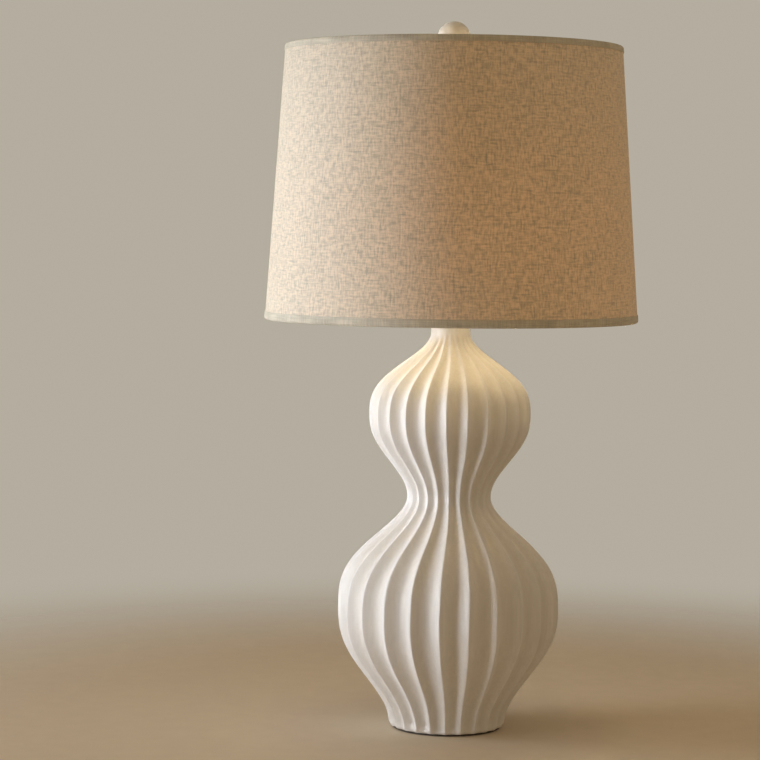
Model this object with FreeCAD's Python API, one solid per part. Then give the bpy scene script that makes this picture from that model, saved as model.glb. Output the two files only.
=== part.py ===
import FreeCAD, Part
import math
import os
from FreeCAD import Vector

# Table lamp with a fluted double gourd body, a tapered drum shade on a harp, and a round finial.
# Millimetres, +Z up. The origin is on the lamp's upright axis, at the underside of the felt pad.
# The cord outlet faces +Y, the switch knob -Y, and the harp stands in the XZ plane.

# ---------------------------------------------------------------- driving dimensions

# Clearances
FIT = 0.05           # radial play of parts that are screwed or pushed together
RUN = 0.08           # radial play of parts that turn or slide on each other
REST = 0.2           # play between a part that moves and the face that it rests on
SWING = 0.4          # free air around a part that turns inside another

# Gourd body: crest radius and height of the two bulbs and the places between them
FOOT_R = 63.0
BELLY_R = 120.5
BELLY_Z = 127.0
WAIST_R = 45.4
WAIST_Z = 252.0
CROWN_R = 88.0
CROWN_Z = 341.0
COLLAR_R = 21.4
COLLAR_Z = 430.0
BODY_TOP_Z = 440.0
# How full each stretch between a bulb and the next narrow place is: more is fuller
FOOT_FULLNESS = 1.15
SHOULDER_FULLNESS = 1.44
CRADLE_FULLNESS = 1.17
CROWN_FULLNESS = 1.42
FLUTES = 24
FLUTE_HOLLOW = 0.15      # a flute's depth below its chord, for each unit of its width
FLUTE_SWAY = 4.0         # degrees that the crests lean sideways where the body is widest
FLUTE_FADE_Z = 385.0     # above this height the flutes run out into the plain collar
SECTIONS = 6             # sections of the body in each stretch between bulb and narrow place
BODY_WALL = 6.5          # thinnest wall, under a flute
FOOT_BEVEL = 2.0
RECESS_R = 46.0          # hollow under the foot
RECESS_DEPTH = 17.0
FLOOR_T = 8.0

# Felt pad and base fastening
FELT_T = 2.0
FELT_INSET = 4.0
BASE_WASHER_R = 22.0
BASE_WASHER_T = 2.0
LOCK_WASHER_R = 8.5
LOCK_WASHER_T = 1.2
NUT_FLATS = 14.3
NUT_T = 3.2

# Threaded lamp rod
ROD_R = 5.15
ROD_BORE_R = 3.45
ROD_TAIL = 4.0           # stands out below the base nut
ROD_HEAD = 5.0           # stands into the socket cap

# Cord outlet
CORD_BORE_R = 3.6
BUSH_WALL = 1.25
BUSH_FLANGE_R = 7.0
BUSH_FLANGE_T = 2.0
OUTLET_RISE = 9.0        # height of the outlet's axis above the foot
LANDING_DEPTH = 1.0      # the flat landing lies this far under the flutes

# Neck
GASKET_T = 1.5
GASKET_W = 6.0
CAP_T = 7.5
CAP_LIP = 1.5
CAP_WALL = 1.6
CAP_SPIGOT = 6.0
NECK_TUBE_R = 7.5
NECK_TUBE_H = 15.2

# Harp and its saddle
SADDLE_T = 1.8
SADDLE_W = 15.0
SADDLE_HALF = 34.9       # from the axis to each prong: the legs pass the bulb as the harp lifts
HARP_WIRE_R = 1.9
PRONG_H = 8.0            # full round part of a prong, above the strip
LAP_H = 8.0              # half-lap of prong and harp leg
HARP_H = 254.0           # strip to shade seat
HARP_HALF = 57.0         # widest half width
HARP_LEG = 44.0          # straight part of a leg, above the strip
HARP_WIDE_LOW = 118.0    # the widest stretch starts this far above the strip
HARP_WIDE_HIGH = 168.0   # and ends this far above it
HARP_BEND_R = 34.0
HARP_CROWN_R = 22.0
HARP_TOP_HALF = 20.0
SLEEVE_L = 20.0
SLEEVE_WALL = 1.4
SEAT_R = 9.5
SEAT_T = 6.0
STUD_R = 3.175
STUD_H = 17.0

# Lamp socket
CAP_HUB_R = 8.0
SOCKET_CAP_H = 19.0
SOCKET_CAP_SIDE = 7.0    # upright rim of the cap
SOCKET_CAP_BULGE = 0.9   # its flank stands this far off a straight cone
SOCKET_R = 17.1          # outside of the brass shell
SOCKET_SHEET = 0.6
SOCKET_H = 53.0
SHELL_LAP = 6.0          # the shell stands this deep in the cap
LINER_T = 0.9
BLOCK_H = 24.0
SCREW_SHELL_R = 13.5     # inside radius
SCREW_SHELL_H = 25.0
TONGUE_W = 6.0
TONGUE_T = 0.5
TONGUE_RISE = 2.7
SET_SCREW_R = 1.5
SET_SCREW_L = 4.5
TERMINAL_R = 3.2
TERMINAL_L = 3.0

# Turn switch
SHAFT_R = 2.0
ROTOR_R = 6.0
ROTOR_L = 7.0
ROTOR_NOTCH = 2.4        # depth of the notch beside each lobe
SWITCH_COLLAR_R = 4.8
SWITCH_COLLAR_L = 4.5
KNOB_R = 6.5
KNOB_L = 13.0
KNOB_RIBS = 12
KNOB_RIB_R = 0.9

# Bulb
BULB_R = 30.0
BULB_NECK_R = 12.0
BULB_FLARE = 38.0        # degrees below the equator where the ball runs into the neck
GLASS_T = 0.9
SHELL_THREAD_R = 13.15   # crest of the screw base
THREAD_PITCH = 3.629
THREAD_TURNS = 5
THREAD_DEPTH = 0.45
BASE_SHEET = 0.5
BASE_SKIRT = 3.4
TIP_R = 4.8
TIP_H = 2.0
TIP_BULGE = 0.6
BASE_GLASS_R = 10.5
BASE_GLASS_H = 3.5
STEM_R = 3.0
STEM_H = 38.0
STEM_HOLLOW = 2.5        # the stem's flare lies this far inside a straight cone
STEM_TIP_R = 1.5
STEM_TIP_BULGE = 0.4
LEAD_R = 0.5
LEAD_H = 18.0
FILAMENT_SPAN = 18.0
FILAMENT_R = 0.6

# Shade
SHADE_BOTTOM_R = 203.2
SHADE_TOP_R = 183.4
SHADE_H = 298.2
HUB_DROP = 22.0          # from the shade's top edge down to its seat
LINEN_T = 0.9
STYRENE_T = 0.5
HEM_T = 0.7
HEM_W = 9.0
RING_R = 1.4
TUCK_L = 5.0             # the hem's inner edge, below the wire
HUB_R = 16.0
HUB_T = 2.5
ARM_R = 1.8
ARMS = 3
ARM_BEND_IN = 24.0       # the arms turn up this far inside the ring
ARM_BEND_R = 14.0

# Finial
FINIAL_R = 18.5
FINIAL_STALK = 8.0       # from its washer to the underside of the ball
FINIAL_STALK_R = 6.2
FINIAL_STALK_HOLLOW = 1.55
FINIAL_PLUG_R = 5.0
FINIAL_PLUG_L = 9.0
WASHER_R = 8.0
WASHER_T = 1.0
BALL_FLAT = 0.6          # depth of the flat under the ball

# ---------------------------------------------------------------- heights that follow

FOOT_Z = FELT_T
FLOOR_Z = FOOT_Z + RECESS_DEPTH
WASHER_Z = FLOOR_Z - BASE_WASHER_T
NUT_Z = WASHER_Z - LOCK_WASHER_T - NUT_T
ROD_BOTTOM_Z = NUT_Z - ROD_TAIL
CAP_Z = BODY_TOP_Z + GASKET_T
TUBE_Z = CAP_Z + CAP_T
SADDLE_Z = TUBE_Z + NECK_TUBE_H
STRIP_Z = SADDLE_Z + SADDLE_T
SOCKET_Z = STRIP_Z + NUT_T
ROD_TOP_Z = SOCKET_Z + ROD_HEAD + SOCKET_SHEET
SHELL_Z = SOCKET_Z + SOCKET_CAP_H - SHELL_LAP
BLOCK_Z = SHELL_Z + SOCKET_SHEET
BLOCK_TOP_Z = BLOCK_Z + BLOCK_H
SWITCH_Z = BLOCK_Z + BLOCK_H / 2
TIP_Z = BLOCK_TOP_Z + TONGUE_RISE + REST
SCREW_BASE_Z = TIP_Z + TIP_H + BASE_GLASS_H
THREAD_TOP_Z = SCREW_BASE_Z + THREAD_TURNS * THREAD_PITCH
BULB_NECK_Z = THREAD_TOP_Z + BASE_SKIRT
SEAT_Z = STRIP_Z + HARP_H
HUB_Z = SEAT_Z + REST
WASHER_TOP_Z = HUB_Z + HUB_T + REST + WASHER_T
BALL_Z = WASHER_TOP_Z + FINIAL_STALK + FINIAL_R
SHADE_TOP_Z = SEAT_Z + HUB_DROP
SHADE_Z = SHADE_TOP_Z - SHADE_H

# ---------------------------------------------------------------- shape helpers


def cylinder(radius, low, high):
    return Part.makeCylinder(radius, high - low, Vector(0, 0, low))


def tube(outer, inner, low, high):
    return cylinder(outer, low, high).cut(cylinder(inner, low, high))


def across(radius, start, end, height, side=Vector(0, 1, 0)):
    """A cylinder that lies along side, from start to end off the axis, at a height."""
    return Part.makeCylinder(radius, end - start, side * start + Vector(0, 0, height), side)


def hexagon(flats, low, high):
    """A hexagonal bar across those flats."""
    corner = flats / math.sqrt(3)
    turns = [math.radians(60 * i) for i in range(7)]
    points = [Vector(corner * math.cos(a), corner * math.sin(a), low) for a in turns]
    return Part.Face(Part.makePolygon(points)).extrude(Vector(0, 0, high - low))


def outline(start, steps):
    """A closed wire in the XZ plane. A step is a point (r, z), or (middle, end) for an arc."""
    at = Vector(start[0], 0, start[1])
    first = at
    edges = []
    for step in steps:
        if isinstance(step[0], tuple):
            middle, end = (Vector(r, 0, z) for r, z in step)
            edges.append(Part.Arc(at, middle, end).toShape())
        else:
            end = Vector(step[0], 0, step[1])
            edges.append(Part.LineSegment(at, end).toShape())
        at = end
    if at.distanceToPoint(first) > 1e-6:
        edges.append(Part.LineSegment(at, first).toShape())
    return Part.Wire(edges)


def turned(start, steps):
    """A solid turned about the upright axis from that outline."""
    return Part.Face(outline(start, steps)).revolve(Vector(0, 0, 0), Vector(0, 0, 1), 360)


def bulged(start, end, bulge):
    """The middle of an arc between two outline points, to the right of its chord by bulge."""
    dr = end[0] - start[0]
    dz = end[1] - start[1]
    chord = math.hypot(dr, dz)
    return (start[0] + end[0]) / 2 + dz / chord * bulge, (start[1] + end[1]) / 2 - dr / chord * bulge


def round_path(points, radii):
    """Straight runs between points, joined by tangent arcs of those radii at the inner points."""
    edges = []
    at = points[0]
    for i, radius in enumerate(radii, start=1):
        corner = points[i]
        back = (points[i - 1] - corner).normalize()
        ahead = (points[i + 1] - corner).normalize()
        half = back.getAngle(ahead) / 2
        reach = radius / math.tan(half)
        first = corner + back * reach
        last = corner + ahead * reach
        inward = (back + ahead).normalize()
        middle = corner + inward * (radius / math.sin(half) - radius)
        edges.append(Part.LineSegment(at, first).toShape())
        edges.append(Part.Arc(first, middle, last).toShape())
        at = last
    edges.append(Part.LineSegment(at, points[-1]).toShape())
    return Part.Wire(edges)


def rod_along(path, radius, start, direction):
    """A round rod that follows a path."""
    section = Part.Wire(Part.Circle(start, direction, radius).toShape())
    return path.makePipeShell([section], True, True)


# ---------------------------------------------------------------- gourd body

SPANS = (
    ((BELLY_Z, BELLY_R), (FOOT_Z, FOOT_R), FOOT_FULLNESS),
    ((BELLY_Z, BELLY_R), (WAIST_Z, WAIST_R), SHOULDER_FULLNESS),
    ((CROWN_Z, CROWN_R), (WAIST_Z, WAIST_R), CRADLE_FULLNESS),
    ((CROWN_Z, CROWN_R), (COLLAR_Z, COLLAR_R), CROWN_FULLNESS),
)


def crest_radius(z):
    """Radius of the flutes' crests: each bulb falls away to its narrow places by a cosine."""
    for (bulb_z, bulb_r), (narrow_z, narrow_r), fullness in SPANS:
        if min(bulb_z, narrow_z) <= z <= max(bulb_z, narrow_z):
            share = (z - bulb_z) / (narrow_z - bulb_z)
            swing = math.cos(math.pi * share**fullness)
            return (bulb_r + narrow_r) / 2 + (bulb_r - narrow_r) / 2 * swing
    return COLLAR_R


def flute_depth(z):
    """How far a flute's bottom lies inside its crests. It fades out towards the collar."""
    half = math.pi / FLUTES
    radius = crest_radius(z)
    full = radius * (1 - math.cos(half) + 2 * FLUTE_HOLLOW * math.sin(half))
    fade = (COLLAR_Z - z) / (COLLAR_Z - FLUTE_FADE_Z)
    return full * min(1.0, max(0.0, fade))


def crest_turn(z):
    """Angle of the first crest. The crests sway to one side on the bulbs."""
    share = (crest_radius(z) - WAIST_R) / (BELLY_R - WAIST_R)
    return math.radians(-90 - FLUTE_SWAY * min(1.0, max(0.0, share)))


def fluted_section(z):
    """One level section of the body: a ring of hollow arcs that meet at crisp crests."""
    radius = crest_radius(z)
    hollow = radius - flute_depth(z)
    step = 2 * math.pi / FLUTES
    edges = []
    for i in range(FLUTES):
        turn = crest_turn(z) + i * step
        start, middle, end = (
            Vector(r * math.cos(a), r * math.sin(a), z)
            for r, a in ((radius, turn), (hollow, turn + step / 2), (radius, turn + step))
        )
        edges.append(Part.Arc(start, middle, end).toShape())
    return Part.Wire(edges)


def body_heights():
    """The levels of the sections, evenly spaced between each bulb and narrow place."""
    stops = (FOOT_Z, BELLY_Z, WAIST_Z, CROWN_Z, COLLAR_Z)
    heights = [
        low + (high - low) * i / SECTIONS
        for low, high in zip(stops, stops[1:])
        for i in range(SECTIONS)
    ]
    return heights + [COLLAR_Z, BODY_TOP_Z]


def cavity_radius(z):
    return crest_radius(z) - flute_depth(z) - BODY_WALL


def body_cavity():
    """The hollow of the body, from its floor out through the neck."""
    low = FLOOR_Z + FLOOR_T
    levels = [low] + [z for z in body_heights() if z > low + FLOOR_T] + [BODY_TOP_Z + FLOOR_T]
    side = Part.BSplineCurve()
    side.interpolate([Vector(cavity_radius(z), 0, z) for z in levels])
    bottom = Vector(0, 0, low)
    top = Vector(0, 0, levels[-1])
    edges = [
        Part.LineSegment(bottom, side.StartPoint).toShape(),
        side.toShape(),
        Part.LineSegment(side.EndPoint, top).toShape(),
        Part.LineSegment(top, bottom).toShape(),
    ]
    return Part.Face(Part.Wire(edges)).revolve(Vector(0, 0, 0), Vector(0, 0, 1), 360)


OUTLET_Z = FOOT_Z + OUTLET_RISE
LANDING_Y = crest_radius(OUTLET_Z) - flute_depth(OUTLET_Z) - LANDING_DEPTH
BUSH_R = CORD_BORE_R + BUSH_WALL


def ceramic_body():
    body = Part.makeLoft([fluted_section(z) for z in body_heights()], True, False)
    body = body.cut(body_cavity())
    body = body.cut(cylinder(RECESS_R, 0, FLOOR_Z))
    body = body.cut(cylinder(ROD_R + SWING, FLOOR_Z, FLOOR_Z + FLOOR_T))
    bevel = turned(
        (FOOT_R - FOOT_BEVEL, FOOT_Z),
        [(FOOT_R + 2 * FOOT_BEVEL, FOOT_Z), (FOOT_R + 2 * FOOT_BEVEL, FOOT_Z + 3 * FOOT_BEVEL)],
    )
    body = body.cut(bevel)
    body = body.cut(across(BUSH_R + FIT, RECESS_R / 2, BELLY_R, OUTLET_Z))
    landing = across(BUSH_FLANGE_R + SWING, LANDING_Y, BELLY_R, OUTLET_Z)
    return body.cut(landing)


def cord_bushing():
    flange = across(BUSH_FLANGE_R, LANDING_Y, LANDING_Y + BUSH_FLANGE_T, OUTLET_Z)
    rim = flange.Edges[0]
    for edge in flange.Edges:
        if edge.CenterOfMass.y > rim.CenterOfMass.y:
            rim = edge
    flange = flange.makeFillet(BUSH_FLANGE_T / 2, [rim])
    barrel = across(BUSH_R, RECESS_R, LANDING_Y, OUTLET_Z)
    bore = across(CORD_BORE_R, RECESS_R, LANDING_Y + BUSH_FLANGE_T, OUTLET_Z)
    return flange.fuse(barrel).cut(bore).removeSplitter()


# ---------------------------------------------------------------- rod, base and neck


def felt_pad():
    return cylinder(FOOT_R - FELT_INSET, 0, FELT_T)


def base_washer():
    return tube(BASE_WASHER_R, ROD_R + FIT, WASHER_Z, FLOOR_Z)


def base_lock_washer():
    return tube(LOCK_WASHER_R, ROD_R + FIT, WASHER_Z - LOCK_WASHER_T, WASHER_Z)


def rod_nut(low):
    """A thin hexagonal nut on the rod, with its corners turned back."""
    nut = hexagon(NUT_FLATS, low, low + NUT_T)
    corner = NUT_FLATS / math.sqrt(3)
    turn_back = (corner - NUT_FLATS / 2) / 2
    keep = turned(
        (0, low),
        [
            (corner - turn_back, low),
            (corner, low + turn_back),
            (corner, low + NUT_T - turn_back),
            (corner - turn_back, low + NUT_T),
            (0, low + NUT_T),
        ],
    )
    return nut.common(keep).cut(cylinder(ROD_R + FIT, low, low + NUT_T))


def threaded_rod():
    return tube(ROD_R, ROD_BORE_R, ROD_BOTTOM_Z, ROD_TOP_Z)


NECK_BORE_R = cavity_radius(BODY_TOP_Z)


def neck_gasket():
    return tube(NECK_BORE_R + GASKET_W, NECK_BORE_R, BODY_TOP_Z, CAP_Z)


def neck_cap():
    """A turned cap over the neck, with a spigot that centres it in the neck's bore."""
    edge = COLLAR_R + CAP_LIP
    spigot = NECK_BORE_R - SWING
    hub = NECK_TUBE_R + CAP_LIP
    inside = spigot - CAP_WALL
    bore = ROD_R + FIT
    return turned(
        (bore, TUBE_Z),
        [
            (hub, TUBE_Z),
            (((hub + edge) / 2, TUBE_Z - CAP_LIP), (edge, CAP_Z + CAP_WALL)),
            (edge, CAP_Z),
            (spigot, CAP_Z),
            (spigot, CAP_Z - CAP_SPIGOT),
            (inside, CAP_Z - CAP_SPIGOT),
            (inside, CAP_Z + CAP_WALL),
            (bore, CAP_Z + CAP_WALL),
        ],
    )


def neck_tube():
    """A turned brass spacer with a bead at each end."""
    bead = CAP_LIP / 2
    low = TUBE_Z
    high = SADDLE_Z
    bore = ROD_R + FIT
    wide = NECK_TUBE_R + bead
    return turned(
        (bore, low),
        [
            (NECK_TUBE_R, low),
            ((wide, low + bead), (NECK_TUBE_R, low + 2 * bead)),
            (NECK_TUBE_R, high - 2 * bead),
            ((wide, high - bead), (NECK_TUBE_R, high)),
            (bore, high),
        ],
    )


# ---------------------------------------------------------------- harp


def side_point(side, x, z):
    return Vector(side * x, 0, z)


LAP_Z = STRIP_Z + PRONG_H


def half_lap(side, part):
    """The half of a leg's round that the prong (part -1) or the harp (part 1) keeps."""
    reach = 2 * HARP_WIRE_R
    inner = SADDLE_HALF + REST / 2 if part > 0 else SADDLE_HALF - REST / 2 - reach
    x = inner if side > 0 else -inner - reach
    return Part.makeBox(reach, 2 * reach, LAP_H + REST, Vector(x, -reach, LAP_Z))


def leg_round(side, low, high):
    return Part.makeCylinder(HARP_WIRE_R, high - low, side_point(side, SADDLE_HALF, low))


def harp_saddle():
    """A strip under the socket with an upright prong at each end, halved where it meets a leg."""
    half_w = SADDLE_W / 2
    neck = SADDLE_HALF - half_w
    tip = HARP_WIRE_R
    corners = [
        (-SADDLE_HALF, -tip), (-neck, -half_w), (neck, -half_w), (SADDLE_HALF, -tip),
        (SADDLE_HALF, tip), (neck, half_w), (-neck, half_w), (-SADDLE_HALF, tip),
    ]
    points = [Vector(x, y, SADDLE_Z) for x, y in corners]
    strip = Part.Face(Part.makePolygon(points + points[:1])).extrude(Vector(0, 0, SADDLE_T))
    for side in (-1, 1):
        strip = strip.fuse(leg_round(side, SADDLE_Z, LAP_Z))
        tongue = leg_round(side, LAP_Z, LAP_Z + LAP_H - REST)
        strip = strip.fuse(tongue.common(half_lap(side, -1)))
    return strip.cut(cylinder(ROD_R + FIT, SADDLE_Z, STRIP_Z)).removeSplitter()


def harp_path():
    """The harp's line: straight legs, a wide middle and a drawn-in crown."""
    crown_z = SEAT_Z - SEAT_T / 2
    leg_z = LAP_Z + LAP_H
    left = [
        side_point(-1, SADDLE_HALF, leg_z),
        side_point(-1, SADDLE_HALF, STRIP_Z + HARP_LEG),
        side_point(-1, HARP_HALF, STRIP_Z + HARP_WIDE_LOW),
        side_point(-1, HARP_HALF, STRIP_Z + HARP_WIDE_HIGH),
        side_point(-1, HARP_TOP_HALF, crown_z),
    ]
    right = [Vector(-p.x, 0, p.z) for p in reversed(left)]
    bends = [HARP_BEND_R, 2 * HARP_BEND_R, 2 * HARP_BEND_R, HARP_CROWN_R]
    return round_path(left + right, bends + bends[::-1])


def harp_frame():
    foot = side_point(-1, SADDLE_HALF, LAP_Z + LAP_H)
    frame = rod_along(harp_path(), HARP_WIRE_R, foot, Vector(0, 0, 1))
    for side in (-1, 1):
        tongue = leg_round(side, LAP_Z + REST, LAP_Z + LAP_H)
        frame = frame.fuse(tongue.common(half_lap(side, 1)))
    return frame.removeSplitter()


def harp_top_screw(frame):
    """The shade's seat, clasped round the top of the harp, with its threaded stud."""
    seat = cylinder(SEAT_R, SEAT_Z - SEAT_T, SEAT_Z)
    stud = cylinder(STUD_R, SEAT_Z, SEAT_Z + STUD_H)
    tip = stud.Edges[0]
    for edge in stud.Edges:
        if edge.CenterOfMass.z > tip.CenterOfMass.z:
            tip = edge
    stud = stud.makeChamfer(STUD_R / 4, [tip])
    return seat.fuse(stud).cut(frame)


def harp_sleeve(side):
    """A sleeve that locks a leg to its prong, with a rounded grip at its top."""
    low = STRIP_Z + REST
    outer = HARP_WIRE_R + SLEEVE_WALL
    grip = outer + SLEEVE_WALL / 2
    inner = HARP_WIRE_R + RUN
    high = low + SLEEVE_L
    sleeve = turned(
        (inner, low),
        [
            (outer, low),
            (outer, high - 4 * SLEEVE_WALL),
            ((grip, high - 2 * SLEEVE_WALL), (outer, high)),
            (inner, high),
        ],
    )
    sleeve.translate(side_point(side, SADDLE_HALF, 0))
    return sleeve


# ---------------------------------------------------------------- lamp socket and switch

CAP_R = SOCKET_R + FIT + SOCKET_SHEET
LINER_R = SOCKET_R - SOCKET_SHEET - FIT
BLOCK_R = LINER_R - LINER_T - FIT
TOWARDS_FRONT = Vector(0, -1, 0)


def set_screw_line(radius, start):
    """A round bar along the set screw's axis, out to the screw's head."""
    height = SOCKET_Z + ROD_HEAD / 2
    return across(radius, start, ROD_R + FIT + SET_SCREW_L, height, Vector(1, 0, 0))


def socket_cap():
    top = SOCKET_Z + SOCKET_CAP_H
    rim = top - SOCKET_CAP_SIDE
    shoulder = SOCKET_Z + ROD_HEAD
    bore = ROD_R + FIT
    low = (CAP_HUB_R, shoulder)
    high = (CAP_R, rim)
    inner_high = (CAP_R - SOCKET_SHEET, rim)
    inner_low = (CAP_HUB_R - SOCKET_SHEET, shoulder + 2 * SOCKET_SHEET)
    cap = turned(
        (bore, SOCKET_Z),
        [
            (CAP_HUB_R, SOCKET_Z),
            low,
            (bulged(low, high, SOCKET_CAP_BULGE), high),
            (CAP_R, top),
            (CAP_R - SOCKET_SHEET, top),
            inner_high,
            (bulged(inner_high, inner_low, -SOCKET_CAP_BULGE), inner_low),
            (bore, shoulder + 2 * SOCKET_SHEET),
        ],
    )
    return cap.cut(set_screw_line(SET_SCREW_R + FIT, 0))


def socket_set_screw():
    screw = set_screw_line(SET_SCREW_R, ROD_R + FIT)
    slot_w = SET_SCREW_R / 2
    reach = ROD_R + FIT + SET_SCREW_L
    slot = Part.makeBox(
        slot_w, 2 * SET_SCREW_R, slot_w,
        Vector(reach - slot_w, -SET_SCREW_R, SOCKET_Z + ROD_HEAD / 2 - slot_w / 2),
    )
    return screw.cut(slot)


def shaft_hole(radius):
    return across(radius, BLOCK_R / 2, CAP_R + SWITCH_COLLAR_L, SWITCH_Z, TOWARDS_FRONT)


def socket_shell():
    """The brass shell, with a rolled bead at its mouth."""
    top = SHELL_Z + SOCKET_H
    inside = SOCKET_R - SOCKET_SHEET
    bead = 2 * SOCKET_SHEET
    shell = turned(
        (inside, SHELL_Z),
        [
            (SOCKET_R, SHELL_Z),
            (SOCKET_R, top - 2 * bead),
            ((SOCKET_R + bead, top - bead), (SOCKET_R, top)),
            (inside, top),
        ],
    )
    return shell.cut(shaft_hole(SHAFT_R + SWING))


def socket_liner():
    top = SHELL_Z + SOCKET_H - SOCKET_SHEET
    liner = tube(LINER_R, LINER_R - LINER_T, BLOCK_Z, top)
    return liner.cut(shaft_hole(SHAFT_R + SWING))


ROTOR_Y = BLOCK_R - 2 * SHAFT_R      # outer face of the rotor's chamber


def socket_block():
    """The insulating block that carries the contacts, hollowed for the switch rotor."""
    block = cylinder(BLOCK_R, BLOCK_Z, BLOCK_TOP_Z)
    chamber_end = ROTOR_Y - ROTOR_L - 2 * SWING
    block = block.cut(across(ROTOR_R + SWING, chamber_end, ROTOR_Y, SWITCH_Z, TOWARDS_FRONT))
    block = block.cut(shaft_hole(SHAFT_R + SWING))
    for side in (-1, 1):
        pocket = across(
            TERMINAL_R + SWING, BLOCK_R - TERMINAL_L - SWING, 2 * BLOCK_R, SWITCH_Z,
            Vector(side, 0, 0),
        )
        block = block.cut(pocket)
    return block


def terminal_screws():
    """Two slotted screw heads, one on each side of the block."""
    heads = []
    for side in (-1, 1):
        start = BLOCK_R - TERMINAL_L - SWING
        end = BLOCK_R - 2 * SWING
        head = across(TERMINAL_R, start, end, SWITCH_Z, Vector(side, 0, 0))
        slot_w = TERMINAL_R / 4
        slot = Part.makeBox(
            2 * slot_w, 2 * TERMINAL_R, slot_w,
            Vector(side * end - slot_w, -TERMINAL_R, SWITCH_Z - slot_w / 2),
        )
        heads.append(head.cut(slot))
    return Part.makeCompound(heads)


def socket_screw_shell():
    """The threaded brass sleeve that takes the bulb, with a flange on the block."""
    outer = SCREW_SHELL_R + SOCKET_SHEET
    low = BLOCK_TOP_Z
    flange = SCREW_SHELL_R - 2 * SOCKET_SHEET
    sleeve = tube(outer, SCREW_SHELL_R, low, low + SCREW_SHELL_H)
    return sleeve.fuse(tube(outer, flange, low, low + SOCKET_SHEET)).removeSplitter()


def socket_contact_tongue():
    """A bent brass leaf under the bulb's tip."""
    low = BLOCK_TOP_Z
    reach = TIP_R
    corners = [
        (-reach, low), (reach, low), (reach, low + TONGUE_T), (-reach + TONGUE_T, low + TONGUE_T),
        (0, low + TONGUE_RISE - TONGUE_T), (TIP_R / 2, low + TONGUE_RISE - TONGUE_T),
        (TIP_R / 2, low + TONGUE_RISE), (-TONGUE_T, low + TONGUE_RISE),
        (-reach, low + TONGUE_T),
    ]
    points = [Vector(x, -TONGUE_W / 2, z) for x, z in corners]
    return Part.Face(Part.makePolygon(points + points[:1])).extrude(Vector(0, TONGUE_W, 0))


COLLAR_END = SOCKET_R + SWITCH_COLLAR_L
KNOB_START = COLLAR_END + REST


def switch_collar():
    """The boss on the shell that the switch shaft runs in."""
    start = SOCKET_R - SWITCH_COLLAR_R / 2
    collar = across(SWITCH_COLLAR_R, start, COLLAR_END, SWITCH_Z, TOWARDS_FRONT)
    collar = collar.cut(cylinder(SOCKET_R, SHELL_Z, SHELL_Z + SOCKET_H))
    return collar.cut(shaft_hole(SHAFT_R + RUN))


def switch_rotor():
    """The turning cam in the block, with two contact lobes."""
    start = ROTOR_Y - ROTOR_L - SWING
    rotor = across(ROTOR_R, start, ROTOR_Y - SWING, SWITCH_Z, TOWARDS_FRONT)
    notch_x = ROTOR_R - ROTOR_NOTCH + ROTOR_R / 2
    for side in (-1, 1):
        notch = Part.makeBox(
            ROTOR_R, ROTOR_L / 2, ROTOR_R,
            Vector(side * notch_x - ROTOR_R / 2, -start - ROTOR_L / 2, SWITCH_Z - ROTOR_R / 2),
        )
        rotor = rotor.cut(notch)
    return rotor


def switch_shaft():
    return across(SHAFT_R, ROTOR_Y - SWING, KNOB_START + KNOB_L / 2, SWITCH_Z, TOWARDS_FRONT)


def switch_knob():
    """A ribbed turn knob with a domed end and a blind bore for its shaft."""
    end = KNOB_START + KNOB_L
    knob = across(KNOB_R, KNOB_START, end, SWITCH_Z, TOWARDS_FRONT)
    rim = knob.Edges[0]
    for edge in knob.Edges:
        if edge.CenterOfMass.y < rim.CenterOfMass.y:
            rim = edge
    knob = knob.makeFillet(KNOB_R / 4, [rim])
    for i in range(KNOB_RIBS):
        turn = 2 * math.pi * i / KNOB_RIBS
        at = Vector(KNOB_R * math.cos(turn), -KNOB_START, SWITCH_Z + KNOB_R * math.sin(turn))
        groove = Part.makeCylinder(KNOB_RIB_R, KNOB_L, at, TOWARDS_FRONT)
        knob = knob.cut(groove)
    bore = across(SHAFT_R + FIT, KNOB_START, KNOB_START + KNOB_L / 2 + FIT, SWITCH_Z, TOWARDS_FRONT)
    return knob.cut(bore)


# ---------------------------------------------------------------- bulb

FLARE = math.radians(BULB_FLARE)
FLARE_R = (BULB_R * math.cos(FLARE) - BULB_NECK_R) / (1 - math.cos(FLARE))
BULB_Z = BULB_NECK_Z + (FLARE_R + BULB_R) * math.sin(FLARE)
SEAL_Z = THREAD_TOP_Z - THREAD_PITCH


def bulb_side(inset):
    """The bulb's outline, inset by a wall: (end of the neck, flare middle, ball, top)."""
    ball = BULB_R - inset
    flare = FLARE_R + inset
    half = FLARE / 2
    centre_r = BULB_NECK_R + FLARE_R
    return {
        "neck": (BULB_NECK_R - inset, BULB_NECK_Z),
        "flare": (centre_r - flare * math.cos(half), BULB_NECK_Z + flare * math.sin(half)),
        "join": (ball * math.cos(FLARE), BULB_Z - ball * math.sin(FLARE)),
        "equator": (ball, BULB_Z),
        "top": (0, BULB_Z + ball),
    }


def bulb_glass():
    """The blown envelope: a ball that flares into a straight neck."""
    out = bulb_side(0)
    inn = bulb_side(GLASS_T)
    return turned(
        (BULB_NECK_R, SEAL_Z),
        [
            out["neck"],
            (out["flare"], out["join"]),
            (out["equator"], out["top"]),
            inn["top"],
            (inn["equator"], inn["join"]),
            (inn["flare"], inn["neck"]),
            (BULB_NECK_R - GLASS_T, SEAL_Z),
        ],
    )


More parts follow.
